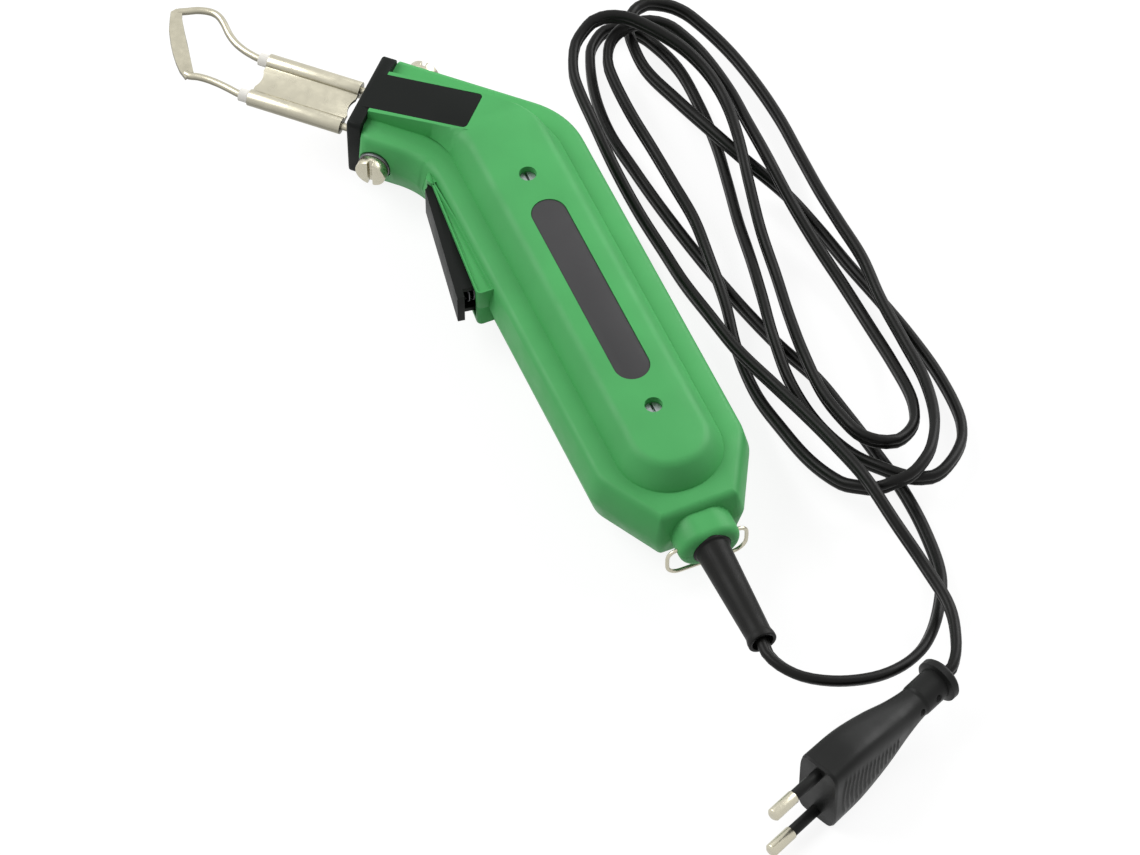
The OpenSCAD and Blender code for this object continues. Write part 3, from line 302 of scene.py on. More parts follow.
def bridge(a, b, leave, arrive, t):
    """A place on the smooth curve from a to b, which leaves and arrives with the given slopes"""
    h = 2 * t ** 3 - 3 * t ** 2 + 1
    return a * h + b * (1 - h) + leave * (t ** 3 - 2 * t ** 2 + t) + arrive * (t ** 3 - t ** 2)


def smooth_line(points, step):
    """Points a step apart on a smooth curve through the given ones"""
    pts = [Vector(p) for p in points]
    last = len(pts) - 1
    knots = [0.0]
    for a, b in zip(pts, pts[1:]):
        knots.append(knots[-1] + (b - a).length)
    slopes = []
    for i, p in enumerate(pts):
        lo = max(i - 1, 0)
        hi = min(i + 1, last)
        slopes.append((pts[hi] - pts[lo]) / (knots[hi] - knots[lo]))
    out = []
    for i in range(last):
        span = knots[i + 1] - knots[i]
        parts = max(1, round(span / step))
        for k in range(parts):
            out.append(bridge(pts[i], pts[i + 1], slopes[i] * span, slopes[i + 1] * span, k / parts))
    out.append(pts[last])
    return out


def round_outline(radius, count):
    return [(radius * math.cos(math.tau * i / count), radius * math.sin(math.tau * i / count))
            for i in range(count)]


# Meshes
def put_object(name, mesh):
    obj = bpy.data.objects.new(name, mesh)
    bpy.context.scene.collection.objects.link(obj)
    return obj


def put_mesh(name, verts, faces, smooth_deg=SMOOTH_DEG):
    """A new object from points and faces"""
    mesh = bpy.data.meshes.new(name)
    mesh.from_pydata([tuple(v) for v in verts], [], faces)
    mesh.validate()
    shade(mesh, smooth_deg)
    return put_object(name, mesh)


def shade(mesh, smooth_deg):
    """Smooth faces, with edges kept sharp above an angle"""
    mesh.shade_smooth()
    mesh.set_sharp_from_angle(angle=math.radians(smooth_deg))
    mesh.update()


def loft(name, rings, smooth_deg=SMOOTH_DEG):
    """A closed skin over rings of equal count, with flat ends"""
    count = len(rings[0])
    verts = [p for ring in rings for p in ring]
    faces = [tuple(reversed(range(count)))]
    for k in range(len(rings) - 1):
        a = k * count
        b = a + count
        for i in range(count):
            j = (i + 1) % count
            faces.append((a + i, a + j, b + j, b + i))
    top = (len(rings) - 1) * count
    faces.append(tuple(top + i for i in range(count)))
    return put_mesh(name, verts, faces, smooth_deg)


def tube_rings(path, outline, ref=UP, leans=None):
    """Rings of an outline carried along a path: sideways, then towards ref or leaning from it"""
    rings = []
    last = len(path) - 1
    for i, p in enumerate(path):
        way = (path[min(i + 1, last)] - path[max(i - 1, 0)]).normalized()
        side = way.cross(ref).normalized()
        rise = side.cross(way)
        if leans is not None:
            c = math.cos(leans[i])
            s = math.sin(leans[i])
            side, rise = side * c - rise * s, rise * c + side * s
        rings.append([p + side * a + rise * b for a, b in outline])
    return rings


def edge_angle(edge):
    if len(edge.link_faces) != 2:
        return 0.0
    return edge.calc_face_angle(0.0)


def soften(bm, width, keep):
    """Rounds the bent edges of a mesh that pass the keep test"""
    segments = SMALL_ROUND_PARTS if width < SMALL_ROUND else LARGE_ROUND_PARTS
    picked = [e for e in bm.edges
              if edge_angle(e) > math.radians(ROUND_DEG) and (keep is None or keep(e))]
    if picked:
        bmesh.ops.bevel(bm, geom=picked, offset=width, offset_type="OFFSET", segments=segments, profile=0.5,
                        affect="EDGES", clamp_overlap=True, loop_slide=True)


def moulded(node, name, rounds, reshape=None, add=None):
    """A copy of a CAD node with joined faces and rounded edges, which stands for it"""
    bm = bmesh.new()
    bm.from_mesh(NODES[node].data)
    bmesh.ops.remove_doubles(bm, verts=bm.verts, dist=JOIN_GAP)
    bmesh.ops.dissolve_limit(bm, angle_limit=math.radians(FLAT_DEG), verts=bm.verts, edges=bm.edges)
    if reshape is not None:
        reshape(bm)
    for width, keep in rounds:
        soften(bm, width, keep)
    if add is not None:
        add(bm)
    bmesh.ops.recalc_face_normals(bm, faces=bm.faces)
    mesh = bpy.data.meshes.new(name)
    bm.to_mesh(mesh)
    bm.free()
    for attribute in [a.name for a in mesh.attributes if a.name == "custom_normal"]:
        mesh.attributes.remove(mesh.attributes[attribute])
    mesh.materials.clear()
    shade(mesh, SMOOTH_DEG)
    return put_object(name, mesh)


def stand_for(obj, node, finish):
    """Gives a piece its finish and its body, and hides the CAD node that it stands for"""
    obj.data.materials.append(finish)
    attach(obj, NODES[node]["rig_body"])
    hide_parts(node)
    return obj


def paint(finish, *nodes):
    """Gives carried over CAD nodes their finish"""
    for node in nodes:
        mesh = NODES[node].data
        mesh.materials.clear()
        mesh.materials.append(finish)


# Finishes
class Finish:
    """A material with one main shader, and the nodes that give it its grain"""

    # How much of the noise is kept on sideways faces and on top faces, which paints shade on the flanks
    flank_from, flank_share = 0.1, 0.45
    top_from, top_share = 0.9, 1.15

    def __init__(self, name, colour, rough, metallic=0.0, level=0.5):
        self.material = bpy.data.materials.new(name)
        self.material.use_nodes = True
        self.tree = self.material.node_tree
        self.shader = self.tree.nodes["Principled BSDF"]
        self.colour = (*colour, 1.0)
        self.rough = rough
        self.shader.inputs["Base Color"].default_value = self.colour
        self.shader.inputs["Roughness"].default_value = rough
        self.shader.inputs["Metallic"].default_value = metallic
        self.shader.inputs["Specular IOR Level"].default_value = level
        coords = self.tree.nodes.new("ShaderNodeTexCoord")
        self.place = coords.outputs["Object"]
        self.turn = coords.outputs["Normal"]
        self.bump = None

    def add(self, kind, **values):
        node = self.tree.nodes.new(kind)
        for key, value in values.items():
            setattr(node, key, value)
        return node

    def link(self, out, into):
        self.tree.links.new(out, into)

    def noise(self, size, detail=3.0, stretch=(1.0, 1.0, 1.0)):
        """Noise whose lumps are about a size across, in metres"""
        mapping = self.add("ShaderNodeMapping")
        mapping.inputs["Scale"].default_value = stretch
        self.link(self.place, mapping.inputs["Vector"])
        node = self.add("ShaderNodeTexNoise")
        node.inputs["Scale"].default_value = 1.0 / size
        node.inputs["Detail"].default_value = detail
        self.link(mapping.outputs["Vector"], node.inputs["Vector"])
        return node.outputs["Fac"]

    def ramp(self, fac, low, high, start=0.3, end=0.7):
        node = self.add("ShaderNodeMapRange")
        node.inputs["From Min"].default_value = start
        node.inputs["From Max"].default_value = end
        node.inputs["To Min"].default_value = low
        node.inputs["To Max"].default_value = high
        self.link(fac, node.inputs["Value"])
        return node.outputs["Result"]

    def shift_colour(self, fac, dark, light):
        """Colour that drifts between a darker and a lighter tint of itself"""
        mix = self.add("ShaderNodeMix", data_type="RGBA")
        mix.inputs["A"].default_value = tuple(c * dark for c in self.colour[:3]) + (1.0,)
        mix.inputs["B"].default_value = tuple(min(1.0, c * light) for c in self.colour[:3]) + (1.0,)
        self.link(self.ramp(fac, 0.0, 1.0), mix.inputs["Factor"])
        self.link(mix.outputs["Result"], self.shader.inputs["Base Color"])

    def paint_flank_shade(self, fac):
        """Noise lowered on faces that look sideways, which paints shade on the flanks"""
        split = self.add("ShaderNodeSeparateXYZ")
        self.link(self.turn, split.inputs["Vector"])
        size = self.add("ShaderNodeMath", operation="ABSOLUTE")
        self.link(split.outputs["Z"], size.inputs[0])
        both = self.add("ShaderNodeMath", operation="MULTIPLY")
        level = self.ramp(size.outputs[0], self.flank_share, self.top_share, self.flank_from, self.top_from)
        self.link(level, both.inputs[0])
        self.link(fac, both.inputs[1])
        return both.outputs[0]

    def shift_rough(self, fac, spread):
        self.link(self.ramp(fac, self.rough - spread, self.rough + spread), self.shader.inputs["Roughness"])

    def add_bump(self, height, distance, strength=1.0):
        node = self.add("ShaderNodeBump")
        node.inputs["Distance"].default_value = distance
        node.inputs["Strength"].default_value = strength
        self.link(height, node.inputs["Height"])
        if self.bump is not None:
            self.link(self.bump, node.inputs["Normal"])
        self.bump = node.outputs["Normal"]
        self.link(self.bump, self.shader.inputs["Normal"])


def moulded_finish(name, colour, rough, grain, depth, level):
    """Satin moulding: fine eroded grain, slow drift of colour and gloss"""
    f = Finish(name, colour, rough, level=level)
    f.shift_colour(f.noise(TINT_SIZE), *TINT_SHARES)
    f.shift_rough(f.noise(GLOSS_SIZE), GLOSS_SPREAD)
    f.add_bump(f.noise(SAG_SIZE, detail=1.0), SAG_DEPTH, SAG_STRENGTH)
    f.add_bump(f.noise(grain, detail=4.0), depth)
    return f.material


def metal_finish(name, colour, rough, stretch, depth, tint):
    """Plated or drawn metal: marks drawn out along one way, random tarnish, and painted shade that makes
    the flanks darker than the top
    """
    f = Finish(name, colour, rough, metallic=1.0)
    dark, light = METAL_TINT_SHARES
    # Painted shade: flanks come out darker than tops, mixed with random tarnish
    f.shift_colour(f.paint_flank_shade(f.ramp(f.noise(TARNISH_AND_SHADE_SIZE), *TARNISH_AND_SHADE_RANGE)), tint * dark, light)
    f.shift_rough(f.noise(MARK_GLOSS_SIZE, stretch=stretch), MARK_GLOSS_SPREAD)
    f.add_bump(f.noise(MARK_SIZE, detail=2.0, stretch=stretch), depth)
    return f.material


FINISH = {}


def make_finishes():
    colours = finishes()
    for key, (name, colour, rough, grain, depth, level) in MOULDED.items():
        FINISH[key] = moulded_finish(name, getattr(colours, colour), rough, grain * MM, depth * MM, level)
    for key, (name, colour, rough, stretch, depth, tint) in METALS.items():
        FINISH[key] = metal_finish(name, getattr(colours, colour), rough, stretch, depth * MM, tint)


# Operators
class HOTKNIFE_OT_stage(bpy.types.Operator):
    """Makes the camera, the pale floor, the backdrop light and the lamps"""

    bl_idname = "hotknife.stage"
    bl_label = "Stage"

    camera_place = (-0.904, 0.361, 1.294)
    camera_aim = (-0.0403, -0.0104, 0.0)
    lens = 171.8
    sensor = 36.0
    light_for_all = 0.28
    floor_half = 3.0
    floor_low = -0.05 * MM
    floor_grey = (0.2, 0.2, 0.2, 1.0)
    floor_bounce = (0.55, 0.55, 0.55, 1.0)
    floor_rough = 0.9
    floor_glow = 0.88
    lamps = [
        ("key_lamp", (0.7, 0.8, 1.1), 1.0, 13.5),
        ("side_lamp", (0.3, -1.2, 0.8), 1.0, 13.5),
    ]

    def execute(self, context):
        scene = context.scene
        scene.view_settings.view_transform = "Standard"
        camera = bpy.data.objects.new("camera", bpy.data.cameras.new("camera"))
        camera.data.lens = self.lens
        camera.data.sensor_width = self.sensor
        camera.location = self.camera_place
        aim = Vector(self.camera_aim) - Vector(self.camera_place)
        camera.rotation_euler = aim.to_track_quat("-Z", "Y").to_euler()
        scene.collection.objects.link(camera)
        scene.camera = camera
        for name, place, wide, power in self.lamps:
            lamp = bpy.data.lights.new(name, "AREA")
            lamp.size = wide
            lamp.energy = power
            obj = bpy.data.objects.new(name, lamp)
            obj.location = place
            obj.rotation_euler = (-Vector(place)).to_track_quat("-Z", "Y").to_euler()
            scene.collection.objects.link(obj)
        self.light_world(scene)
        self.lay_floor()
        return {"FINISHED"}

    def seen(self, tree):
        """One where the camera, a mirror or glass looks, and nothing for other light"""
        path = tree.nodes.new("ShaderNodeLightPath")
        total = path.outputs["Is Camera Ray"]
        for name in ("Is Glossy Ray", "Is Transmission Ray"):
            add = tree.nodes.new("ShaderNodeMath")
            add.operation = "MAXIMUM"
            tree.links.new(total, add.inputs[0])
            tree.links.new(path.outputs[name], add.inputs[1])
            total = add.outputs[0]
        return total

    def light_world(self, scene):
        """A room that looks white to the camera and lights the part softly"""
        world = bpy.data.worlds.new("pale_room")
        world.use_nodes = True
        scene.world = world
        tree = world.node_tree
        light = tree.nodes["Background"]
        light.inputs["Color"].default_value = WHITE
        light.inputs["Strength"].default_value = self.light_for_all
        white = tree.nodes.new("ShaderNodeBackground")
        white.inputs["Color"].default_value = WHITE
        white.inputs["Strength"].default_value = 1.0
        mix = tree.nodes.new("ShaderNodeMixShader")
        tree.links.new(self.seen(tree), mix.inputs[0])
        tree.links.new(light.outputs[0], mix.inputs[1])
        tree.links.new(white.outputs[0], mix.inputs[2])
        tree.links.new(mix.outputs[0], tree.nodes["World Output"].inputs["Surface"])

    def lay_floor(self):
        """A floor that looks white to the camera and throws back a little light"""
        half = self.floor_half
        low = self.floor_low
        verts = [(-half, -half, low), (half, -half, low), (half, half, low), (-half, half, low)]
        floor = put_mesh("floor", verts, [(0, 1, 2, 3)])
        material = bpy.data.materials.new("pale_floor")
        material.use_nodes = True
        tree = material.node_tree
        shader = tree.nodes["Principled BSDF"]
        shader.inputs["Base Color"].default_value = self.floor_grey
        shader.inputs["Roughness"].default_value = self.floor_rough
        shader.inputs["Specular IOR Level"].default_value = 0.0
        glow = tree.nodes.new("ShaderNodeEmission")
        glow.inputs["Strength"].default_value = self.floor_glow
        add = tree.nodes.new("ShaderNodeAddShader")
        plain = tree.nodes.new("ShaderNodeBsdfDiffuse")
        plain.inputs["Color"].default_value = self.floor_bounce
        mix = tree.nodes.new("ShaderNodeMixShader")
        tree.links.new(shader.outputs[0], add.inputs[0])
        tree.links.new(glow.outputs[0], add.inputs[1])
        tree.links.new(self.seen(tree), mix.inputs[0])
        tree.links.new(plain.outputs[0], mix.inputs[1])
        tree.links.new(add.outputs[0], mix.inputs[2])
        tree.links.new(mix.outputs[0], tree.nodes["Material Output"].inputs["Surface"])
        floor.data.materials.append(material)


class HOTKNIFE_OT_plug(bpy.types.Operator):
    """Makes the mains plug with its grip ribs, pin sleeves and pins"""

    bl_idname = "hotknife.plug"
    bl_label = "Plug"

    rings = 220
    around = 96
    smooth_deg = 55.0
    rear_gap = 0.1 * MM
    grip_share = (0.47, 0.95)
    rib_bow_share = 0.05
    rib_reach_share = 0.3
    rib_spread_share = 0.4
    rib_fade_share = 0.12
    rib_power = 1.5
    flank_share = 0.5
    neck_rows = 4
    neck_radius = 5.0
    hole_round = 1.0
    hole_turn = 0.3
    hole_deep = 1.6 * MM
    hole_power = 4
    pin_round = 0.15 * MM
    pin_sleeve_round = 0.1 * MM

    def section(self, share):
        """Width, thickness and roundness at a share of the length, smooth beyond the neck"""
        rows = PLUG_SECTION_SHARES
        last = len(rows) - 1
        for i in range(last):
            a = rows[i]
            b = rows[i + 1]
            if share > b[0] and i < last - 1:
                continue
            span = b[0] - a[0]
            t = min(1.0, (share - a[0]) / span)
            if i < self.neck_rows or i > last - 2:
                return [a[k] + (b[k] - a[k]) * t for k in (1, 2, 3)]
            before = rows[i - 1] if i > self.neck_rows else a
            after = rows[i + 2] if i + 2 < last else b
            out = []
            for k in (1, 2, 3):
                leave = (b[k] - before[k]) / (b[0] - before[0]) * span
                arrive = (after[k] - a[k]) / (after[0] - a[0]) * span
                out.append(bridge(a[k], b[k], leave, arrive, t))
            return out

    def hole(self, share, turn):
        """Depth of the two small holes in each broad side of the bending neck"""
        off = min(abs(share - place) for place in PLUG_NECK_HOLE_SHARES) * sizes().plug_long / MM
        swing = abs(math.sin(turn + self.hole_turn)) * self.neck_radius
        far = math.hypot(off, swing) / self.hole_round
        if far > 1.0:
            return 0.0
        return self.hole_deep * (1.0 - far ** self.hole_power)

    def rib(self, share, rise_share):
        """Height of the grip ribs at a place on the broad side"""
        s = sizes()
        start, end = self.grip_share
        bow = share + self.rib_bow_share * rise_share * rise_share
        place = (bow - start) / (end - start)
        if not 0.0 <= place <= 1.0:
            return 0.0
        reach = self.rib_reach_share + self.rib_spread_share * place
        if abs(rise_share) > reach:
            return 0.0
        fade = min(1.0, (reach - abs(rise_share)) / self.rib_fade_share)
        wave = 0.5 - 0.5 * math.cos(math.tau * place * s.rib_count)
        return s.rib_rise * fade * wave ** self.rib_power

    def execute(self, context):
        s = sizes()
        rings = []
        for k in range(self.rings + 1):
            share = k / self.rings
            wide, thick, roundness = self.section(share)
            power = 2 / roundness
            ring = []
            for i in range(self.around):
                turn = math.tau * i / self.around
                c = math.cos(turn)
                v = math.sin(turn)
                reach = (abs(c) ** power + abs(v) ** power) ** (-1 / power)
                across = c * reach
                up = v * reach
                side = -across * thick * s.plug_thick / 2
                if abs(across) > self.flank_share:
                    rise = self.rib(share, up) - self.hole(share, turn)
                    side += rise * math.copysign(1.0, side)
                along = share * s.plug_long + self.rear_gap
                ring.append(plug_spot(along, side, up * wide * s.plug_wide / 2))
            rings.append(ring)
        body = loft("plug_moulding", rings, self.smooth_deg)
        stand_for(body, "plug_body", FINISH["plug"])
        pins = moulded("plug_pins", "plug_pins_turned", [(self.pin_round, None)])
        stand_for(pins, "plug_pins", FINISH["nickel"])
        sleeves = moulded("pin_sleeves", "pin_sleeves_moulded", [(self.pin_sleeve_round, None)])
        stand_for(sleeves, "pin_sleeves", FINISH["plug"])
        return {"FINISHED"}


class HOTKNIFE_OT_cord(bpy.types.Operator):
    """Makes the flat twin cord along its route on the table"""

    bl_idname = "hotknife.cord"
    bl_label = "Cord"

    step = 2.4 * MM
    lean = math.radians(40)
    lean_run = 180 * MM
    smooth_deg = 50.0
    core_turns = range(-90, 91, 20)
    waist_share = 0.55

    def outline(self):
        """Section of the cord: two round cores side by side with a groove between them"""
        s = sizes()
        core = s.cord_thick / 2
        apart = s.cord_wide / 2 - core
        right = []
        for turn in self.core_turns:
            a = math.radians(turn)
            y = core * math.sin(a)
            right.append((core * math.cos(a), y + math.copysign(apart, y)))
        low = [p for p in right if p[1] < 0]
        high = [p for p in right if p[1] > 0]
        waist = apart * self.waist_share
        half = low + [(core, -waist), (core - s.cord_groove, 0.0), (core, waist)] + high
        return half + [(-x, y) for x, y in reversed(half[1:-1])]

    def execute(self, context):
        points = [spot(CORD_START), spot(SLEEVE_EXIT)] + [spot(p) for p in CORD_ROUTE]
        path = smooth_line(points, self.step)
        leans = []
        run = 0.0
        for a, b in zip(path, path[1:]):
            leans.append(self.lean * max(0.0, 1.0 - run / self.lean_run))
            run += (b - a).length
        leans.append(0.0)
        cord = loft("flat_cord", tube_rings(path, self.outline(), UP, leans), self.smooth_deg)
        stand_for(cord, "power_cord", FINISH["cord"])
        return {"FINISHED"}


class HOTKNIFE_OT_housing(bpy.types.Operator):
    """Makes the two moulded halves of the housing and the label plate"""

    bl_idname = "hotknife.housing"
    bl_label = "Housing"

    parting_round = 0.25 * MM
    parting_slack = 0.02 * MM
    label_round = 0.12 * MM
    bend_reach = 9.0
    bend_cut = 1.0
    bend_spare = 4
    bend_slack = 0.15
    bend_ends = (34.0, 68.0)
    bend_low = -15.2
    bend_slant = -30.0
    cut_slack = 0.0001 * MM
    top_from = 32.4
    top_run = 1.6
    bend_lines = [
        (17.0, 49.27, -0.9), (24.6, 50.0, -2.67), (25.72, 50.35, -3.53), (27.0, 54.17, -10.03),
        (32.4, 51.66, -13.53), (33.52, 50.82, -14.7),
    ]
    cheek_from = 42.33
    cover_from = 44.15
    cover_to = 48.23
    cover_steps = 18
    cover_lead = 1.6
    cover_low = -0.18
    cover_high = 0.27
    cover_gap = 0.06
    fade_from = 44.63
    fade_run = 3.0
    slot_rises = (0.0, 1.5, 3.0, 4.5, 6.1)
    cheek_rises = (6.0, 6.5, 7.0, 7.5)
    cover_skin = 0.2
    cheek_floor = -3.3
    boss_box = ((-2.0, -3.2), (42.6, 3.0))
    boss_rise = 7.5
    boss_slack = 0.05
    boss_level = 0.95
    boss_rim = 0.45 * MM
    boss_sink = 0.8 * MM
    boss_round = 1.7 * MM
    boss_corner = (-1.5705, 2.5)
    corner_slack = 0.1

    def at_parting(self, edge):
        """Edges where the two halves meet"""
        return all(abs(v.co.z - BEND[2] * MM) < self.parting_slack for v in edge.verts)

    def at_boss_end(self, edge):
        """The upright edge at the cord end of the boss round the trigger"""
        for v in edge.verts:
            if max(abs(a / MM - b) for a, b in zip(v.co, self.boss_corner)) > self.corner_slack:
                return False
        return True

    def by_bend(self, face):
        """Faces that reach into the inner corner"""
        start, end = self.bend_ends
        for p in [v.co for v in face.verts] + [face.calc_center_median()]:
            x = p.x / MM
            y = p.y / MM
            if start < x < end and y > self.bend_low and y - x < self.bend_slant:
                return True
        return False

    def bend_corner(self, height):
        """Where the inner lines of handle and head meet at a height over the middle"""
        lines = self.bend_lines
        for a, b in zip(lines, lines[1:]):
            if height <= b[0]:
                t = max(0.0, (height - a[0]) / (b[0] - a[0]))
                return Vector((a[1] + (b[1] - a[1]) * t, a[2] + (b[2] - a[2]) * t))
        return Vector(lines[-1][1:])

    def round_bend(self, bm):
        """Turns the sharp inner corner between handle and head into a smooth curve"""
        start = self.bend_corner(BEND[2])
        steps = round(self.bend_reach / self.bend_cut) + self.bend_spare
        for k in range(-steps, steps + 1):
            near = [f for f in bm.faces if self.by_bend(f)]
            edges = list({e for f in near for e in f.edges})
            verts = list({v for f in near for v in f.verts})
            place = start + BEND_ACROSS * (k * self.bend_cut)
            bmesh.ops.bisect_plane(bm, geom=near + edges + verts, dist=self.cut_slack,
                                   plane_co=(*(place * MM), 0.0), plane_no=(*BEND_ACROSS, 0.0))
        for v in bm.verts:
            p = v.co / MM
            height = BEND[2] + abs(p.z - BEND[2])
            corner = self.bend_corner(height)
            off = Vector(p[:2]) - corner
            beyond = off.dot(BEND_OUT) - abs(off.dot(BEND_ACROSS)) * math.tan(BEND_TURN / 2)
            if abs(beyond) < self.bend_slack:
                shift = self.bend_shift(off) * (1.0 - ease((height - self.top_from) / self.top_run))
                v.co.x += shift.x * MM
                v.co.y += shift.y * MM

    def bend_shift(self, off):
        """How far a point of the walls moves out, by its place from the corner"""
        gap = max(0.0, self.bend_reach - abs(off.dot(BEND_ACROSS)))
        return BEND_OUT * (math.tan(BEND_TURN / 2) * gap ** 2 / (2 * self.bend_reach))

    def cover_spot(self, x, rise):
        """A point on the skin over the trigger's knuckle: level with the boss, then with the wall"""
        middle = self.bend_corner(BEND[2])
        corner = self.bend_corner(BEND[2] + rise)
        lead = min(1.0, (x - self.cheek_from) / self.cover_lead)
        level = middle.y + self.cover_low + (self.cover_high - self.cover_low) * lead
        t = ease((x - self.fade_from) / self.fade_run)
        place = Vector((x, level + (corner.y - self.cover_gap - level) * t))
        return place + self.bend_shift(place - middle.lerp(corner, t))

    def lay_slab(self, bm, start, rises, sign, floor=None):
        """A closed skin under the cover's surface, or a block down to a floor"""
        rows = []
        for k in range(self.cover_steps + 1):
            x = start + (self.cover_to - start) * k / self.cover_steps
            tops = [self.cover_spot(x, r) for r in rises]
            lows = [Vector((p.x, p.y - self.cover_skin if floor is None else floor)) for p in tops]
            ring = list(zip(tops, rises)) + list(reversed(list(zip(lows, rises))))
            rows.append([bm.verts.new(spot((p.x, p.y, BEND[2] + sign * r))) for p, r in ring])
        count = len(rows[0])
        for a, b in zip(rows, rows[1:]):
            for i in range(count):
                j = (i + 1) % count
                bm.faces.new((a[i], a[j], b[j], b[i]))
        bm.faces.new(rows[0])
        bm.faces.new(rows[-1])

    def cover_knuckle(self, bm):
        """Closes the housing over the trigger's knuckle, so that the trigger comes out below it"""
        middle = sum(v.co.z for v in bm.verts) / len(bm.verts)
        sign = 1.0 if middle > BEND[2] * MM else -1.0
        self.sink_boss(bm, sign)
        self.lay_slab(bm, self.cover_from, self.slot_rises, sign)
        self.lay_slab(bm, self.cheek_from, self.cheek_rises, sign, self.cheek_floor)

    def sink_boss(self, bm, sign):
        """Sinks the side of the boss beside the trigger and leaves a rim round it"""
        bm.normal_update()
        low, high = self.boss_box
        tops = []
        for f in bm.faces:
            p = f.calc_center_median() / MM
            level = f.normal.z * sign > self.boss_level
            on_top = abs(p.z - BEND[2] - sign * self.boss_rise) < self.boss_slack
            if level and on_top and low[0] < p.x < high[0] and low[1] < p.y < high[1]:
                tops.append(f)
        for depth in (0.0, -self.boss_sink):
            bmesh.ops.inset_region(bm, faces=tops, thickness=self.boss_rim, depth=depth, use_boundary=True,
                                   use_even_offset=True)

    def execute(self, context):
        for node, name in (("upper_shell", "housing_upper"), ("lower_shell", "housing_lower")):
            rounds = [(self.boss_round, self.at_boss_end), (self.parting_round, self.at_parting)]
            shell = moulded(node, name, rounds, reshape=self.round_bend, add=self.cover_knuckle)
            stand_for(shell, node, FINISH["green"])
        label = moulded("label_plate", "label_plate_bare", [(self.label_round, None)])
        stand_for(label, "label_plate", FINISH["label"])
        paint(FINISH["zinc"], "case_screws", "case_nuts")
        return {"FINISHED"}


class HOTKNIFE_OT_head(bpy.types.Operator):
    """Makes the black head block and the clamp screws"""

    bl_idname = "hotknife.head"
    bl_label = "Head"

    plate_face = 43.4
    face_slack = 0.05
    plate_round = 1.3 * MM
    block_round = 0.35 * MM
    washer_round = 0.15 * MM
    clear_of_legs = 3.0
    clamp_at = 32.9
    shank_round = 2.6
    screw_head_from = 15.0
    screw_head_share = 1.13
    screw_round = 0.35 * MM

    def at_plate_face(self, edge):
        """Outer edges of the plate's front, clear of the two holes for the blade's legs"""
        for v in edge.verts:
            along, side, rise = head_place(v.co)
            if along < self.plate_face - self.face_slack:
                return False
            if abs(rise) < self.clear_of_legs and abs(abs(side) - LEG_SIDE) < self.clear_of_legs:
                return False
        return True

    def off_axis(self, along, rise):
        """How far a spot is from the clamp screws' axis, as a step along the head and up"""
        return Vector((along - self.clamp_at, rise))

    def on_screw_head(self, edge):
        """Edges of a clamp screw's head, clear of its shank"""
        for v in edge.verts:
            along, side, rise = head_place(v.co)
            if self.off_axis(along, rise).length < self.shank_round:
                return False
        return True

    def widen_head(self, bm):
        """Widens the head of a clamp screw to the size that the photograph shows"""
        for v in bm.verts:
            along, side, rise = head_place(v.co)
            out = self.off_axis(along, rise)
            if abs(side) > self.screw_head_from and out.length > self.shank_round:
                out *= self.screw_head_share
                v.co = head_spot(self.clamp_at + out.x, side, out.y)

    def execute(self, context):
        rounds = [(self.plate_round, self.at_plate_face), (self.block_round, None)]
        block = moulded("head_block", "head_block_moulded", rounds)
        stand_for(block, "head_block", FINISH["black"])
        for side in ("near", "far"):
            rounds = [(self.screw_round, self.on_screw_head)]
            screw = moulded("clamp_screw_" + side, "clamp_screw_turned_" + side, rounds,
                            reshape=self.widen_head)
            stand_for(screw, "clamp_screw_" + side, FINISH["nickel"])
            rounds = [(self.washer_round, None)]
            washer = moulded("clamp_washer_" + side, "clamp_washer_pressed_" + side, rounds)
            # Painted shade: the steel washers take the dark iron finish to stand for the shade under the
            # screw heads
            stand_for(washer, "clamp_washer_" + side, FINISH["iron"])
        paint(FINISH["brass"], "terminal_far", "terminal_near")
        return {"FINISHED"}


class HOTKNIFE_OT_blade(bpy.types.Operator):
    """Makes the heated wire loop, its sheet holder and its ceramic tubes"""

    bl_idname = "hotknife.blade"
    bl_label = "Blade"

    wire_sides = 18
    wire_step = 0.8 * MM
    strip_height_shares = (-1.0, -0.6, 0.6, 1.0)
    strip_insets = (0.35, 0.06, 0.06, 0.35)
    holder_round = 0.12 * MM
    tube_round = 0.25 * MM

    def wires(self):
        """The two legs of the loop"""
        circle = round_outline(sizes().wire_round, self.wire_sides)
        for line, side in ((FAR_WIRE, -LEG_SIDE), (NEAR_WIRE, LEG_SIDE)):
            points = [head_spot(LEG_FROM, side)] + [head_spot(*p) for p in line]
            yield loft("wire_part", tube_rings(smooth_line(points, self.wire_step), circle))

    def strip(self):
        """The flattened cutting strip with softened edges"""
        edge = [Vector(p) for p in STRIP_OUTER + STRIP_INNER]
        middle = sum(edge, Vector((0, 0))) / len(edge)
        half = sizes().strip_thick / MM / 2
        rings = []
        for share, inset in zip(self.strip_height_shares, self.strip_insets):
            spots = [p + (middle - p).normalized() * inset for p in edge]
            rings.append([head_spot(p.x, p.y, half * share) for p in spots])
        return loft("strip_part", rings)

    def execute(self, context):
        bm = bmesh.new()
        for part in (*self.wires(), self.strip()):
            bm.from_mesh(part.data)
            bpy.data.objects.remove(part)
        mesh = bpy.data.meshes.new("blade_wire")
        bm.to_mesh(mesh)
        bm.free()
        shade(mesh, SMOOTH_DEG)
        stand_for(put_object("blade_wire", mesh), "blade", FINISH["wire"])
        holder = moulded("blade_holder", "blade_holder_folded", [(self.holder_round, None)])
        stand_for(holder, "blade_holder", FINISH["sheet"])
        tubes = moulded("ceramic_tubes", "ceramic_tubes_fired", [(self.tube_round, None)])
        stand_for(tubes, "ceramic_tubes", FINISH["ceramic"])
        return {"FINISHED"}


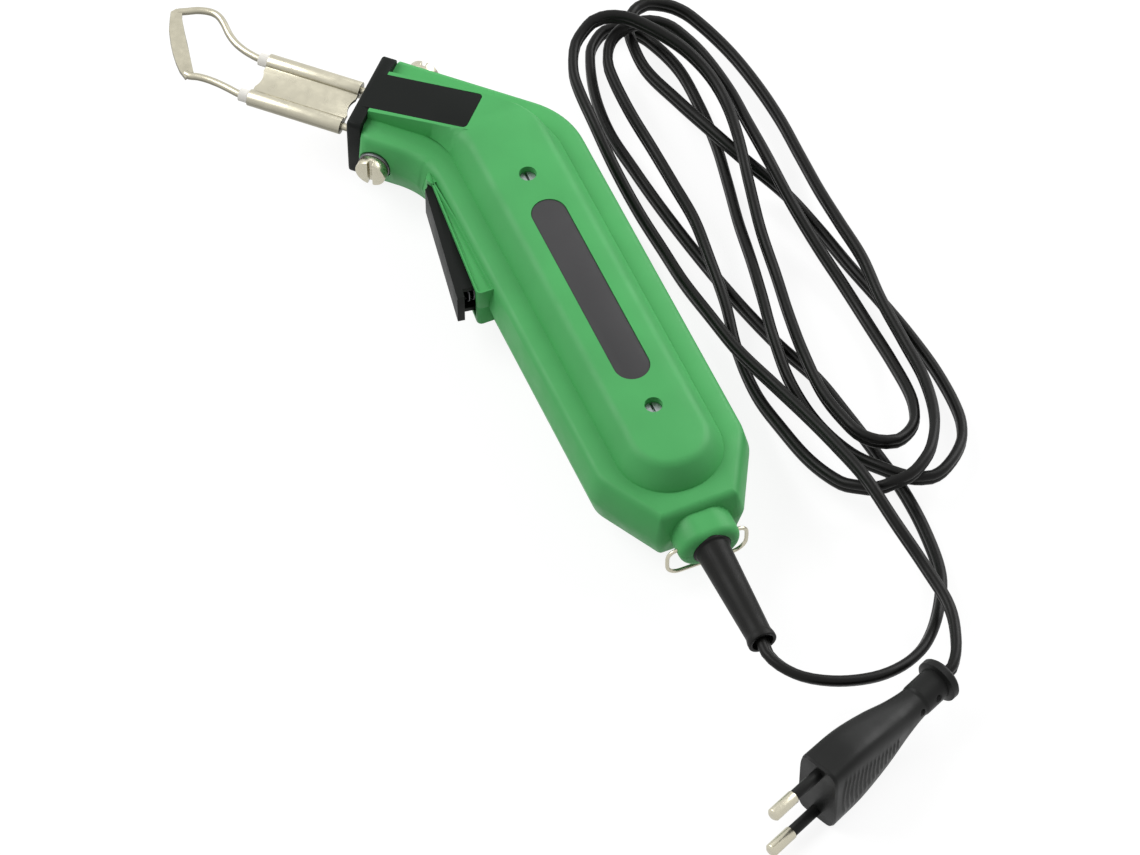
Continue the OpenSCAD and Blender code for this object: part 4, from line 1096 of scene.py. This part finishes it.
class HOTKNIFE_OT_trigger(bpy.types.Operator):
    """Makes the trigger and finishes its pin, spring and switch"""

    bl_idname = "hotknife.trigger"
    bl_label = "Trigger"

    trigger_round = 0.6 * MM
    spring_turns = 6
    spring_steps = 36
    spring_round = 2.2 * MM
    spring_wire = 0.3 * MM
    spring_sides = 10
    spring_keep = 0.7

    def wind_spring(self):
        """The trigger's spring, wound at its rest length; the real spring is squeezed as the trigger goes
        in
        """
        low, high = (Vector(corner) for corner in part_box("trigger_spring"))
        middle = (low + high) / 2
        long = high.y - low.y - 2 * self.spring_wire
        count = self.spring_turns * self.spring_steps
        path = []
        for i in range(count + 1):
            turn = math.tau * i / self.spring_steps
            path.append(Vector((middle.x + self.spring_round * math.cos(turn),
                                low.y + self.spring_wire + long * i / count,
                                middle.z + self.spring_round * math.sin(turn))))
        rings = tube_rings(path, round_outline(self.spring_wire, self.spring_sides), Vector((0, 1, 0)))
        spring = loft("trigger_spring_wound", rings)
        stand_for(spring, "trigger_spring", FINISH["iron"])
        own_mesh(spring)

    def execute(self, context):
        trigger = moulded("trigger", "trigger_moulded", [(self.trigger_round, None)])
        stand_for(trigger, "trigger", FINISH["black"])
        self.wind_spring()
        paint(FINISH["zinc"], "pivot_pin")
        paint(FINISH["black"], "switch_body")
        paint(FINISH["plunger"], "switch_plunger")
        return {"FINISHED"}


class HOTKNIFE_OT_works(bpy.types.Operator):
    """Finishes the transformer, bus bars and cord clamp inside the housing"""

    bl_idname = "hotknife.works"
    bl_label = "Inner works"

    def execute(self, context):
        paint(FINISH["iron"], "transformer_core")
        paint(FINISH["bobbin"], "bobbin")
        paint(FINISH["copper"], "primary_winding", "secondary_winding", "busbar_far", "busbar_near")
        paint(FINISH["black"], "cord_clamp")
        paint(FINISH["nickel"], "clamp_bar_screws")
        return {"FINISHED"}


class HOTKNIFE_OT_cord_end(bpy.types.Operator):
    """Makes the bend sleeve and the wire bail at the cord end"""

    bl_idname = "hotknife.cord_end"
    bl_label = "Cord end"

    sleeve_round = 0.3 * MM
    bail_sides = 14
    bail_step = 0.5 * MM
    bend_parts = 4
    bail_half = 12.4
    bail_drop = 10.4
    bail_bend = 2.8
    bail_low_bend = 4.2
    bail_in = 7.0
    bail_lead = 0.6

    def bend(self, y, z, size, start):
        """A quarter turn about a middle, from an angle on"""
        turns = [math.radians(start + 90 * k / self.bend_parts) for k in range(self.bend_parts + 1)]
        return [(y + size * math.cos(t), z + size * math.sin(t)) for t in turns]

    def execute(self, context):
        sleeve = moulded("bend_sleeve", "bend_sleeve_moulded", [(self.sleeve_round, None)])
        stand_for(sleeve, "bend_sleeve", FINISH["rubber"])
        b = self.bail_bend
        w = self.bail_low_bend
        h = self.bail_half
        d = self.bail_drop
        side = [(-self.bail_in, 0.0), (-h + b + self.bail_lead, 0.0)]
        side += self.bend(-h + b, -b, b, 90) + self.bend(-h + w, -d + w, w, 180)
        whole = side + [(-y, z) for y, z in reversed(side)]
        points = [spot((BAIL[0], BAIL[1] + y, BAIL[2] + z)) for y, z in whole]
        path = smooth_line(points, self.bail_step)
        circle = round_outline(sizes().bail_round, self.bail_sides)
        bail = loft("bail_wire", tube_rings(path, circle, Vector((1, 0, 0))))
        stand_for(bail, "hanging_bail", FINISH["nickel"])
        return {"FINISHED"}


class HOTKNIFE_PT_panel(bpy.types.Panel):
    """Lists the steps and the sizes and colours that they use"""

    bl_idname = "HOTKNIFE_PT_panel"
    bl_label = "Hot Knife"
    bl_space_type = "VIEW_3D"
    bl_region_type = "UI"
    bl_category = "Hot Knife"

    def draw(self, context):
        layout = self.layout
        for group in (context.scene.hot_knife_sizes, context.scene.hot_knife_finishes):
            box = layout.box()
            for key in group.__annotations__:
                box.prop(group, key)
        for step in STEPS:
            layout.operator(step.bl_idname)


STEPS = [
    HOTKNIFE_OT_stage,
    HOTKNIFE_OT_plug,
    HOTKNIFE_OT_cord,
    HOTKNIFE_OT_housing,
    HOTKNIFE_OT_head,
    HOTKNIFE_OT_blade,
    HOTKNIFE_OT_trigger,
    HOTKNIFE_OT_works,
    HOTKNIFE_OT_cord_end,
]
CLASSES = [HotKnifeSizes, HotKnifeFinishes, *STEPS, HOTKNIFE_PT_panel]


def register():
    for cls in CLASSES:
        bpy.utils.register_class(cls)
    bpy.types.Scene.hot_knife_sizes = PointerProperty(type=HotKnifeSizes)
    bpy.types.Scene.hot_knife_finishes = PointerProperty(type=HotKnifeFinishes)


def unregister():
    del bpy.types.Scene.hot_knife_finishes
    del bpy.types.Scene.hot_knife_sizes
    for cls in reversed(CLASSES):
        bpy.utils.unregister_class(cls)


def main():
    register()
    make_finishes()
    bpy.ops.hotknife.stage()
    bpy.ops.hotknife.plug()
    bpy.ops.hotknife.cord()
    bpy.ops.hotknife.housing()
    bpy.ops.hotknife.head()
    bpy.ops.hotknife.blade()
    bpy.ops.hotknife.trigger()
    bpy.ops.hotknife.works()
    bpy.ops.hotknife.cord_end()
    bpy.context.view_layer.update()


if __name__ == "__main__":
    main()
